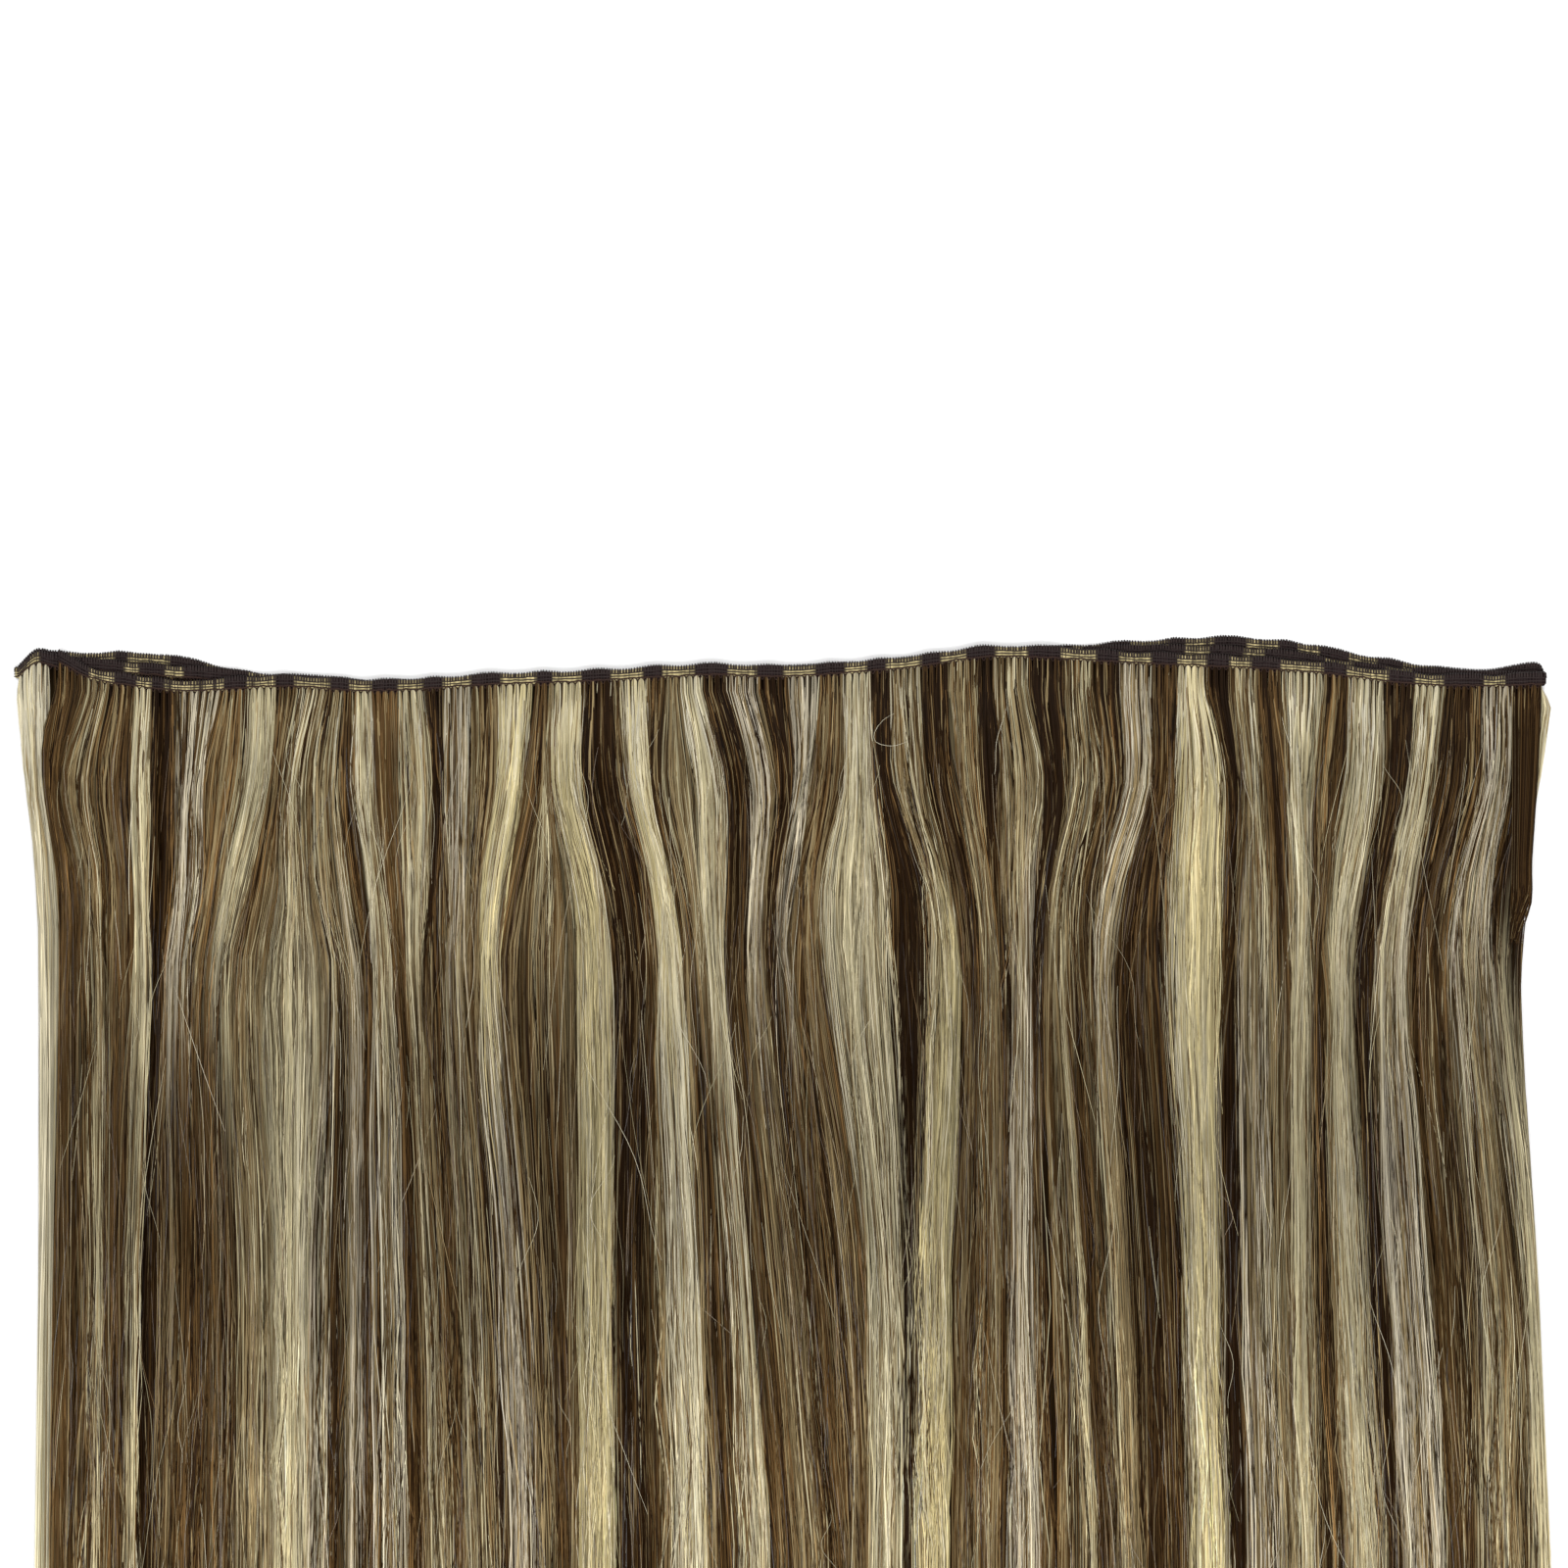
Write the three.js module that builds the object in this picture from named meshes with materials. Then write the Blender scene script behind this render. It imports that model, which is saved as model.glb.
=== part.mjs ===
// Hair weft: a sewn band folded in three runs, with a layer of hair in locks falling from each run.
// Millimetres. X runs along the band, Y from the hair tips to the band, Z up from the floor it lies on.
import * as THREE from "three";

// Sizes of the band
const BAND_HEIGHT = 3.3;
const BAND_THICKNESS = 1.1;
const BAND_CHAMFER = 0.5;
const FOLD_STEPS = 4;
const TUFT_PITCH = 7.2;
const TUFT_LEAST = 3;
const TUFT_LIFT = 0.3;
const END_MARGIN = 1.5;

// Sizes of the hair
const HAIR_LENGTH = 406;
const GAP = 0.3;
const ROOT_GAP = 0.45;
const CREST_SHARE = 0.26;
const TIP_PINCH = 0.35;
const NOTCH_DEPTH = 42;
const LENGTH_SPREAD = 16;

// Levels of the three layers at the band, from the floor up
const LAYER_PITCH = BAND_THICKNESS + GAP;

// The Y at which each column of a lock table is taken
const LEVELS = { root: -3.8, bend: -28.1, belly: -53.6, settle: -79.2, low: -155.8, edge: -232.4 };

// Thickness of one layer of hair, and the depth of the furrows between its locks, down the hair
const BODY = [
  { y: 12, thick: 1.1, furrow: 0.1 },
  { y: -5, thick: 1.1, furrow: 0.2 },
  { y: -28, thick: 1.9, furrow: 0.8 },
  { y: -60, thick: 2.4, furrow: 1.2 },
  { y: -150, thick: 2.4, furrow: 1.1 },
  { y: -260, thick: 2.0, furrow: 0.9 },
  { y: -350, thick: 1.3, furrow: 0.5 },
  { y: -430, thick: 0.6, furrow: 0.1 },
];

// How far the crest of a lock rises in its layer, by shade: pale locks lie over dark ones
const CREST = {
  cream: 1,
  blonde: 0.95,
  gold: 0.95,
  silver: 0.85,
  ash: 0.8,
  caramel: 0.65,
  russet: 0.6,
  brown: 0.6,
  dark: 0.5,
};

// Upper edge of the front run, from its cut end at the left to the fold at the right
const FRONT_RUN = [
  { x: -188.5, y: 6.6 },
  { x: -180.1, y: 2.3 },
  { x: -168.6, y: 0.3 },
  { x: -155.6, y: -1.0 },
  { x: -130.0, y: 0.2 },
  { x: -107.0, y: -1.0 },
  { x: -73.3, y: 0.8 },
  { x: -51.6, y: 1.5 },
  { x: -19.2, y: 3.2 },
  { x: 1.0, y: 2.8 },
  { x: 31.7, y: 5.0 },
  { x: 55.2, y: 7.9 },
  { x: 91.7, y: 6.3 },
  { x: 135.6, y: 4.1 },
  { x: 164.5, y: 0.8 },
  { x: 182.1, y: 0.3 },
  { x: 197.4, y: 0.7 },
];

// Upper edge of the middle run, from the left fold to the right fold
const MIDDLE_RUN = [
  { x: -198.2, y: 3.6 },
  { x: -191.0, y: 5.4 },
  { x: -178.5, y: 4.3 },
  { x: -153.0, y: 2.3 },
  { x: -127.5, y: 0.3 },
  { x: -96.8, y: -1.2 },
  { x: -25.3, y: 1.6 },
  { x: 15.6, y: 3.1 },
  { x: 51.3, y: 6.6 },
  { x: 102.4, y: 7.9 },
  { x: 128.0, y: 6.9 },
  { x: 153.5, y: 3.0 },
  { x: 173.9, y: 1.3 },
  { x: 197.4, y: 0.7 },
];

// Upper edge of the rear run, from the left fold to its cut end at the right
const REAR_RUN = [
  { x: -198.2, y: 3.6 },
  { x: -191.0, y: 6.4 },
  { x: -183.0, y: 6.2 },
  { x: -165.8, y: 6.1 },
  { x: -155.6, y: 4.6 },
  { x: -135.1, y: 0.5 },
  { x: -101.9, y: -1.3 },
  { x: -25.3, y: 1.5 },
  { x: 15.6, y: 3.3 },
  { x: 71.8, y: 7.7 },
  { x: 97.8, y: 9.5 },
  { x: 115.7, y: 10.2 },
  { x: 133.1, y: 8.9 },
  { x: 153.5, y: 5.1 },
  { x: 181.1, y: 1.3 },
  { x: 196.2, y: 3.3 },
];

// Left edges of the three layers
const FRONT_LEFT = { root: -192.6, bend: -192.3, belly: -188.5, settle: -188.0, low: -189.5, edge: -190.8 };
const MIDDLE_LEFT = { root: -199.6, bend: -197.2, belly: -194.2, settle: -193.6, low: -193.6, edge: -194.6 };
const REAR_LEFT = { root: -199.0, bend: -196.2, belly: -193.0, settle: -192.4, low: -192.4, edge: -193.4 };

// Locks of the front layer from left to right: the X of each lock's right edge down the hair
const FRONT_LOCKS = [
  { shade: "dark", root: -181.1, bend: -187.5, belly: -183.4, settle: -182.9, low: -181.6, edge: -182.6 },
  { shade: "ash", root: -174.7, bend: -178.3, belly: -175.5, settle: -175.5, low: -176.2, edge: -177.3 },
  { shade: "brown", root: -168.8, bend: -169.9, belly: -168.6, settle: -168.3, low: -170.6, edge: -170.9 },
  { shade: "blonde", root: -164.0, bend: -164.8, belly: -164.8, settle: -164.5, low: -167.3, edge: -168.6 },
  { shade: "dark", root: -157.6, bend: -157.3, belly: -158.1, settle: -160.4, low: -161.9, edge: -163.2 },
  { shade: "ash", root: -146.4, bend: -150.7, belly: -151.2, settle: -154.8, low: -153.0, edge: -155.3 },
  { shade: "caramel", root: -139.5, bend: -140.7, belly: -145.8, settle: -149.7, low: -148.7, edge: -148.9 },
  { shade: "silver", root: -131.8, bend: -133.3, belly: -138.7, settle: -144.1, low: -142.3, edge: -143.0 },
  { shade: "brown", root: -126.7, bend: -130.5, belly: -131.8, settle: -136.1, low: -132.6, edge: -133.1 },
  { shade: "blonde", root: -119.3, bend: -123.9, belly: -122.6, settle: -118.5, low: -122.6, edge: -123.1 },
  { shade: "ash", root: -117.0, bend: -119.8, belly: -118.3, settle: -115.2, low: -116.0, edge: -116.7 },
  { shade: "dark", root: -115.7, bend: -118.3, belly: -115.7, settle: -113.4, low: -113.7, edge: -114.2 },
  { shade: "blonde", root: -114.2, bend: -115.5, belly: -112.9, settle: -109.3, low: -109.1, edge: -109.3 },
  { shade: "dark", root: -111.9, bend: -111.6, belly: -107.8, settle: -105.5, low: -103.4, edge: -102.9 },
  { shade: "silver", root: -107.0, bend: -105.7, belly: -104.0, settle: -101.1, low: -99.4, edge: -98.9 },
  { shade: "russet", root: -100.4, bend: -99.9, belly: -98.6, settle: -97.3, low: -93.2, edge: -91.2 },
  { shade: "blonde", root: -93.2, bend: -90.7, belly: -91.7, settle: -93.2, low: -89.1, edge: -86.6 },
  { shade: "dark", root: -88.4, bend: -88.4, belly: -87.9, settle: -87.6, low: -83.0, edge: -80.5 },
  { shade: "ash", root: -79.7, bend: -79.7, belly: -81.0, settle: -82.8, low: -77.4, edge: -74.8 },
  { shade: "brown", root: -74.1, bend: -74.3, belly: -78.7, settle: -78.4, low: -72.3, edge: -69.2 },
  { shade: "gold", root: -64.6, bend: -66.9, belly: -71.0, settle: -74.6, low: -67.9, edge: -64.9 },
  { shade: "caramel", root: -61.0, bend: -62.1, belly: -66.7, settle: -68.7, low: -64.6, edge: -61.6 },
  { shade: "silver", root: -60.0, bend: -60.3, belly: -54.4, settle: -52.9, low: -52.4, edge: -52.6 },
  { shade: "gold", root: -51.6, bend: -52.1, belly: -46.7, settle: -44.2, low: -44.2, edge: -43.7 },
  { shade: "dark", root: -43.7, bend: -42.1, belly: -36.3, settle: -34.0, low: -36.0, edge: -33.5 },
  { shade: "brown", root: -42.7, bend: -41.1, belly: -35.2, settle: -32.9, low: -29.1, edge: -27.8 },
  { shade: "blonde", root: -35.2, bend: -34.0, belly: -28.6, settle: -25.0, low: -21.2, edge: -18.4 },
  { shade: "dark", root: -30.7, bend: -32.4, belly: -25.8, settle: -22.7, low: -18.1, edge: -14.6 },
  { shade: "silver", root: -26.8, bend: -23.5, belly: -22.0, settle: -19.7, low: -15.1, edge: -12.0 },
  { shade: "blonde", root: -20.9, bend: -14.8, belly: -14.8, settle: -15.3, low: -8.7, edge: -2.3 },
  { shade: "dark", root: -14.8, bend: -8.2, belly: -8.2, settle: -8.4, low: 0.3, edge: 6.9 },
  { shade: "blonde", root: -5.9, bend: -1.3, belly: -4.1, settle: -4.6, low: 3.6, edge: 11.0 },
  { shade: "dark", root: 1.5, bend: 3.1, belly: -0.3, settle: -1.3, low: 6.4, edge: 13.0 },
  { shade: "blonde", root: 9.5, bend: 7.4, belly: 2.8, settle: 1.0, low: 8.4, edge: 15.1 },
  { shade: "brown", root: 15.6, bend: 15.3, belly: 10.0, settle: 11.2, low: 23.0, edge: 23.2 },
  { shade: "cream", root: 22.7, bend: 23.5, belly: 26.8, settle: 27.3, low: 30.1, edge: 30.4 },
  { shade: "brown", root: 27.6, bend: 28.9, belly: 36.5, settle: 37.8, low: 36.0, edge: 35.5 },
  { shade: "blonde", root: 35.8, bend: 37.8, belly: 43.4, settle: 46.2, low: 43.4, edge: 43.4 },
  { shade: "dark", root: 42.9, bend: 44.7, belly: 50.6, settle: 51.3, low: 51.1, edge: 49.8 },
  { shade: "caramel", root: 50.6, bend: 51.9, belly: 53.9, settle: 56.4, low: 56.7, edge: 55.9 },
  { shade: "brown", root: 54.9, bend: 55.9, belly: 56.4, settle: 57.7, low: 58.0, edge: 57.7 },
  { shade: "silver", root: 63.6, bend: 68.2, belly: 66.2, settle: 65.4, low: 65.1, edge: 68.2 },
  { shade: "dark", root: 73.1, bend: 74.3, belly: 70.5, settle: 69.2, low: 73.3, edge: 74.8 },
  { shade: "ash", root: 77.9, bend: 79.4, belly: 74.6, settle: 73.8, low: 78.7, edge: 83.0 },
  { shade: "brown", root: 79.9, bend: 82.2, belly: 77.4, settle: 76.4, low: 81.0, edge: 84.8 },
  { shade: "ash", root: 82.5, bend: 84.3, belly: 79.2, settle: 78.4, low: 82.8, edge: 86.6 },
  { shade: "dark", root: 87.6, bend: 88.6, belly: 81.5, settle: 79.9, low: 84.5, edge: 88.4 },
  { shade: "ash", root: 95.5, bend: 95.5, belly: 88.9, settle: 85.3, low: 90.2, edge: 92.2 },
  { shade: "brown", root: 102.7, bend: 101.7, belly: 99.4, settle: 99.9, low: 104.2, edge: 106.5 },
  { shade: "gold", root: 110.1, bend: 115.2, belly: 114.4, settle: 113.7, low: 113.7, edge: 116.0 },
  { shade: "dark", root: 117.0, bend: 119.5, belly: 118.8, settle: 117.8, low: 118.8, edge: 121.1 },
  { shade: "silver", root: 123.1, bend: 124.9, belly: 126.2, settle: 126.9, low: 127.5, edge: 130.5 },
  { shade: "brown", root: 128.7, bend: 131.0, belly: 132.6, settle: 133.3, low: 133.6, edge: 135.1 },
  { shade: "blonde", root: 140.7, bend: 137.9, belly: 138.2, settle: 136.9, low: 137.4, edge: 139.0 },
  { shade: "brown", root: 146.9, bend: 145.1, belly: 141.8, settle: 141.3, low: 143.3, edge: 147.9 },
  { shade: "blonde", root: 156.3, bend: 155.6, belly: 150.4, settle: 147.1, low: 151.0, edge: 156.3 },
  { shade: "dark", root: 164.2, bend: 161.9, belly: 156.8, settle: 154.0, low: 156.6, edge: 161.2 },
  { shade: "blonde", root: 171.9, bend: 169.1, belly: 164.2, settle: 161.7, low: 167.6, edge: 173.4 },
  { shade: "brown", root: 181.6, bend: 180.8, belly: 174.2, settle: 171.4, low: 177.5, edge: 179.6 },
  { shade: "ash", root: 189.8, bend: 188.8, belly: 184.4, settle: 184.2, low: 193.4, edge: 196.9 },
  { shade: "dark", root: 198.9, bend: 196.2, belly: 194.1, settle: 191.6, low: 195.9, edge: 199.5 },
];

// The pale lock that falls from the left fold, and the evenly spaced locks beside it in the middle layer
const FOLD_LOCK = {
  shade: "cream",
  root: -190.6,
  bend: -190.6,
  belly: -187.0,
  settle: -186.5,
  low: -188.0,
  edge: -189.2,
};
const MIDDLE_RIGHT = { root: 198.4, bend: 195.0, belly: 192.6, settle: 190.2, low: 194.4, edge: 198.0 };
const REAR_RIGHT = { root: 195.6, bend: 193.4, belly: 191.4, settle: 189.4, low: 193.4, edge: 196.6 };
const MIDDLE_COUNT = 27;
const REAR_COUNT = 24;
const PLAIN_SHADES = ["ash", "dark", "blonde", "brown"];
const PLAIN_SWAY = 2.6;

// Shares of the hair's length at which each layer has a row of points, on its top and on its underside
const FINE_ROWS = [0, 0.012, 0.035, 0.065, 0.1, 0.14, 0.19, 0.27, 0.38, 0.52, 0.68, 0.85, 1];
const FINE_UNDER = [0, 0.035, 0.1, 0.19, 0.38, 0.68, 1];
const PLAIN_ROWS = [0, 0.03, 0.09, 0.18, 0.34, 0.58, 0.8, 1];
const PLAIN_UNDER = [0, 0.09, 0.34, 0.58, 1];

const lerp = THREE.MathUtils.lerp;
const clamp = THREE.MathUtils.clamp;

// A smooth curve through the rows of a table, read at any place along the column named by key
function curve(rows, key, value) {
  const sorted = [...rows].sort((a, b) => a[key] - b[key]);
  const last = sorted.length - 1;
  const slope = (i) => {
    const a = sorted[Math.max(0, i - 1)];
    const b = sorted[Math.min(last, i + 1)];
    return (b[value] - a[value]) / (b[key] - a[key]);
  };
  return (at) => {
    const p = clamp(at, sorted[0][key], sorted[last][key]);
    const above = sorted.findIndex((row) => row[key] >= p);
    const i = Math.max(0, above - 1);
    const a = sorted[i];
    const b = sorted[i + 1];
    const span = b[key] - a[key];
    const t = (p - a[key]) / span;
    const rise = t * t * (3 - 2 * t);
    const leave = t * (1 - t) * (1 - t) * span * slope(i);
    const arrive = t * t * (t - 1) * span * slope(i + 1);
    return lerp(a[value], b[value], rise) + leave + arrive;
  };
}

const thickness = curve(BODY, "y", "thick");
const furrow = curve(BODY, "y", "furrow");

// X of a lock's edge as a smooth path down the hair
function edgePath(edge) {
  const rows = Object.keys(LEVELS).map((name) => ({ y: LEVELS[name], x: edge[name] }));
  return curve(rows, "y", "x");
}

// A number from 0 to 1 that stays the same for each lock of a layer
function varied(index, salt) {
  const wave = Math.sin(index * 12.9898 + salt * 78.233) * 43758.5453;
  return wave - Math.floor(wave);
}

// Where the tufts of a run are sewn in: dark tufts stand a little higher than pale ones
function sewnRun(rows, tufts) {
  const line = curve(rows, "x", "y");
  const ends = [rows[0].x, rows.at(-1).x];
  const inside = tufts.filter(({ x }) => x > ends[0] + END_MARGIN && x < ends[1] - END_MARGIN);
  const lifted = inside.map(({ x, lift }) => ({ x, y: line(x) + lift * TUFT_LIFT }));
  return [{ x: ends[0], y: line(ends[0]) }, ...lifted, { x: ends[1], y: line(ends[1]) }];
}

// Tufts as wide as the locks of a table
function tuftsOf(left, locks) {
  const edges = [left, ...locks].map((lock) => lock.root);
  return locks
    .map(({ shade }, i) => ({ x: (edges[i] + edges[i + 1]) / 2, width: edges[i + 1] - edges[i], shade }))
    .filter(({ width }) => width > TUFT_LEAST)
    .map(({ x, shade }) => ({ x, lift: CREST[shade] < 0.7 ? 1 : -1 }));
}

// Evenly spaced tufts, pale and dark by turns
function evenTufts(from, to) {
  const count = Math.floor((to - from) / TUFT_PITCH);
  return Array.from({ length: count }, (_, i) => ({ x: from + (i + 1) * TUFT_PITCH, lift: i % 2 ? 1 : -1 }));
}

const frontRun = sewnRun(FRONT_RUN, tuftsOf(FRONT_LEFT, FRONT_LOCKS));
const middleRun = sewnRun(MIDDLE_RUN, evenTufts(MIDDLE_RUN[0].x, MIDDLE_RUN.at(-1).x));
const rearRun = sewnRun(REAR_RUN, evenTufts(REAR_RUN[0].x, REAR_RUN.at(-1).x));

// A mesh from points and triangles, named and coloured
function mesh(name, points, triangles, colour, roughness) {
  const geometry = new THREE.BufferGeometry();
  geometry.setAttribute("position", new THREE.Float32BufferAttribute(points.flat(), 3));
  geometry.setIndex(triangles.flat());
  geometry.computeVertexNormals();
  const made = new THREE.Mesh(geometry, new THREE.MeshStandardMaterial({ color: colour, roughness }));
  made.name = name;
  return made;
}

// Places round a fold between an upper and a lower run, bulging towards side
function foldPlaces({ x, y }, zUpper, zLower, side) {
  const radius = (zUpper - zLower) / 2;
  return Array.from({ length: FOLD_STEPS - 1 }, (_, i) => {
    const angle = (Math.PI * (i + 1)) / FOLD_STEPS;
    return {
      x: x + side * radius * Math.sin(angle),
      y,
      z: (zUpper + zLower) / 2 + radius * Math.cos(angle),
      turn: side > 0 ? angle : Math.PI - angle,
    };
  });
}

// The band: one section carried along the three runs and round the two folds
function weftBand() {
  const [zRear, zMiddle, zFront] = [0, 1, 2].map((layer) => layer * LAYER_PITCH + BAND_THICKNESS / 2);
  const places = [
    ...frontRun.map((place) => ({ ...place, z: zFront, turn: 0 })),
    ...foldPlaces(frontRun.at(-1), zFront, zMiddle, 1),
    ...[...middleRun].reverse().map((place) => ({ ...place, z: zMiddle, turn: Math.PI })),
    ...foldPlaces(middleRun[0], zMiddle, zRear, -1),
    ...rearRun.map((place) => ({ ...place, z: zRear, turn: 0 })),
  ];
  const half = BAND_THICKNESS / 2;
  const section = [
    { across: 0, out: 0 },
    { across: BAND_CHAMFER, out: half },
    { across: BAND_HEIGHT - BAND_CHAMFER, out: half },
    { across: BAND_HEIGHT, out: 0 },
    { across: BAND_HEIGHT - BAND_CHAMFER, out: -half },
    { across: BAND_CHAMFER, out: -half },
  ];
  const points = places.flatMap((place) =>
    section.map((corner) => [
      place.x + corner.out * Math.sin(place.turn),
      place.y - corner.across,
      place.z + corner.out * Math.cos(place.turn),
    ]),
  );
  const sides = section.length;
  const triangles = [];
  for (let i = 0; i + 1 < places.length; i += 1) {
    for (let k = 0; k < sides; k += 1) {
      const a = i * sides + k;
      const b = i * sides + ((k + 1) % sides);
      triangles.push([a, b, a + sides], [b, b + sides, a + sides]);
    }
  }
  const end = (places.length - 1) * sides;
  for (let k = 1; k + 1 < sides; k += 1) {
    triangles.push([0, k + 1, k], [end, end + k, end + k + 1]);
  }
  return mesh("weft_band", points, triangles, "#2e2529", 0.8);
}

// The columns of a layer: a furrow at each edge of a lock, and two crest lines inside the lock
function columnsOf(left, locks, salt) {
  const paths = [left, ...locks].map(edgePath);
  const columns = [{ path: paths[0], crest: 0, notch: 1, under: true }];
  locks.forEach((lock, i) => {
    const [from, to] = [paths[i], paths[i + 1]];
    const shorter = LENGTH_SPREAD * varied(i, salt);
    for (const share of [CREST_SHARE, 1 - CREST_SHARE]) {
      const path = (y, along) => {
        const pinched = lerp(share, lerp(share, 0.5, 1 - TIP_PINCH), clamp(along * 4 - 3, 0, 1));
        return lerp(from(y), to(y), pinched);
      };
      columns.push({ path, crest: CREST[lock.shade], notch: 0, shorter, under: false });
    }
    columns.push({ path: to, crest: 0, notch: 1, shorter, under: true });
  });
  return columns;
}

// Joins two rows of points that run the same way, each point with its share of the way along
function zip(upper, lower, triangles) {
  let i = 0;
  let k = 0;
  while (i + 1 < upper.length || k + 1 < lower.length) {
    const next = i + 1 < upper.length ? upper[i + 1].share : Infinity;
    const other = k + 1 < lower.length ? lower[k + 1].share : Infinity;
    if (next <= other) {
      triangles.push([upper[i].id, lower[k].id, upper[i + 1].id]);
      i += 1;
    } else {
      triangles.push([upper[i].id, lower[k].id, lower[k + 1].id]);
      k += 1;
    }
  }
}

// One layer of hair: a ridged top over a plain underside, closed along its root, sides and tips
function hairLayer(name, layer, run, columns, rows, underRows, colour) {
  const points = [];
  const edge = curve(run, "x", "y");
  const seat = (y) => layer * (thickness(y) + GAP);
  const place = (column, share, top) => {
    const root = edge(column.path(LEVELS.root, 0)) - TUFT_LIFT - BAND_HEIGHT - ROOT_GAP;
    const length = HAIR_LENGTH - (column.shorter ?? 0) - column.notch * NOTCH_DEPTH;
    const y = root - length * share;
    const sunk = (1 - column.crest) * furrow(y);
    points.push([column.path(y, share), y, seat(y) + (top ? thickness(y) - sunk : 0)]);
    return { id: points.length - 1, share };
  };
  const over = columns.map((column) => rows.map((share) => place(column, share, true)));
  const below = columns
    .map((column, i) => ({ column, at: i / (columns.length - 1) }))
    .filter(({ column }) => column.under)
    .map(({ column, at }) => ({ at, row: underRows.map((share) => place(column, share, false)) }));

  const triangles = [];
  for (let c = 0; c + 1 < over.length; c += 1) {
    for (let r = 0; r + 1 < rows.length; r += 1) {
      const [a, b] = [over[c][r].id, over[c + 1][r].id];
      const [d, e] = [over[c][r + 1].id, over[c + 1][r + 1].id];
      triangles.push([a, d, b], [b, d, e]);
    }
  }
  for (let c = 0; c + 1 < below.length; c += 1) {
    for (let r = 0; r + 1 < underRows.length; r += 1) {
      const [a, b] = [below[c].row[r].id, below[c + 1].row[r].id];
      const [d, e] = [below[c].row[r + 1].id, below[c + 1].row[r + 1].id];
      triangles.push([a, b, d], [b, e, d]);
    }
  }
  const across = (r) => over.map((column, i) => ({ id: column[r].id, share: i / (over.length - 1) }));
  const acrossUnder = (r) => below.map(({ at, row }) => ({ id: row[r].id, share: at }));
  const flipped = [];
  zip(across(0), acrossUnder(0), flipped);
  zip(over.at(-1), below.at(-1).row, flipped);
  triangles.push(...flipped.map(([a, b, c]) => [a, c, b]));
  zip(over[0], below[0].row, triangles);
  zip(across(rows.length - 1), acrossUnder(underRows.length - 1), triangles);
  return mesh(name, points, triangles, colour, 0.55);
}

// Evenly spaced locks between two edges, each swaying a little down the hair
function plainLocks(left, right, count, salt) {
  return Array.from({ length: count }, (_, i) => {
    const share = (i + 1) / count;
    const inner = Math.sin(Math.PI * share);
    const lock = { shade: PLAIN_SHADES[Math.floor(4 * varied(i, salt))] };
    Object.keys(LEVELS).forEach((level, k) => {
      const sway = PLAIN_SWAY * inner * (varied(Math.floor(i / 2), salt + k) - 0.5);
      lock[level] = lerp(left[level], right[level], share) + sway;
    });
    return lock;
  });
}

const middleLocks = [FOLD_LOCK, ...plainLocks(FOLD_LOCK, MIDDLE_RIGHT, MIDDLE_COUNT, 2)];
const rearLocks = plainLocks(REAR_LEFT, REAR_RIGHT, REAR_COUNT, 3);

const frontColumns = columnsOf(FRONT_LEFT, FRONT_LOCKS, 1);
const middleColumns = columnsOf(MIDDLE_LEFT, middleLocks, 2);
const rearColumns = columnsOf(REAR_LEFT, rearLocks, 3);

const pieces = [
  weftBand(),
  hairLayer("hair_front", 2, FRONT_RUN, frontColumns, FINE_ROWS, FINE_UNDER, "#8a7a58"),
  hairLayer("hair_middle", 1, MIDDLE_RUN, middleColumns, PLAIN_ROWS, PLAIN_UNDER, "#7d6c4c"),
  hairLayer("hair_rear", 0, REAR_RUN, rearColumns, PLAIN_ROWS, PLAIN_UNDER, "#6f5f43"),
];

// The part's origin is the middle of its base
const weft = new THREE.Group();
weft.name = "hair_weft";
weft.add(...pieces);
const box = new THREE.Box3().setFromObject(weft);
const centre = box.getCenter(new THREE.Vector3());
weft.children.forEach((piece) => piece.geometry.translate(-centre.x, -centre.y, -box.min.z));

export default weft;
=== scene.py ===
"""A hair weft on a white floor: a stitched band, folded in three runs, and the locks that fall from it."""
import math

import bpy
import numpy as np
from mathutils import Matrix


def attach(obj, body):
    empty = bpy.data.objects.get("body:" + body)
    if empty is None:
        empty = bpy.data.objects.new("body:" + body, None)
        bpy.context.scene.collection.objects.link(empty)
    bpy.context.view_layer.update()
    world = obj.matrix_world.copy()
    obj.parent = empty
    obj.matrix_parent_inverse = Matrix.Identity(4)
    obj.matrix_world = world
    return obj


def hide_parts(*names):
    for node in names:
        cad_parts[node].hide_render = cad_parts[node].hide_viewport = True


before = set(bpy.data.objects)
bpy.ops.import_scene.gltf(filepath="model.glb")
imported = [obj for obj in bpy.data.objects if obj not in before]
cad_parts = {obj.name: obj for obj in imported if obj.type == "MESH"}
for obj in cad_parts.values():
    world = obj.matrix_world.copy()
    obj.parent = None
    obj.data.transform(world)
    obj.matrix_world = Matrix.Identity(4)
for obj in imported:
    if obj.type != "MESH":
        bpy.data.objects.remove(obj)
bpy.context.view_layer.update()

# All sizes below are in millimetres, in the frame of the lock tables. SHIFT takes them to the part's frame.
MM = 0.001
SHIFT = np.array([0.05, 199.905, 0.0])
SEED = 7
UP = (0, 0, 1)
TURN = 2 * math.pi

# The band: rows down from its upper edge, distances out from its middle, and the radii of its threads
BAND_HEIGHT = 3.3
BAND_THICKNESS = 1.1
BAND_SECTION = [
    (0.15, 0), (0.4, 0.36), (1.3, 0.42), (2.9, 0.42), (3.25, 0), (2.9, -0.42), (1.3, -0.42), (0.4, -0.36),
]
DARK_RISE = 0.3
PALE_DROP = 0.3
STITCH_PITCH = 0.72
STITCH_FOOT = 1.2
STITCH_RADIUS = (0.29, 0.27, 0.17, 0.27, 0.29)
STITCH_END = 0.3
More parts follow.
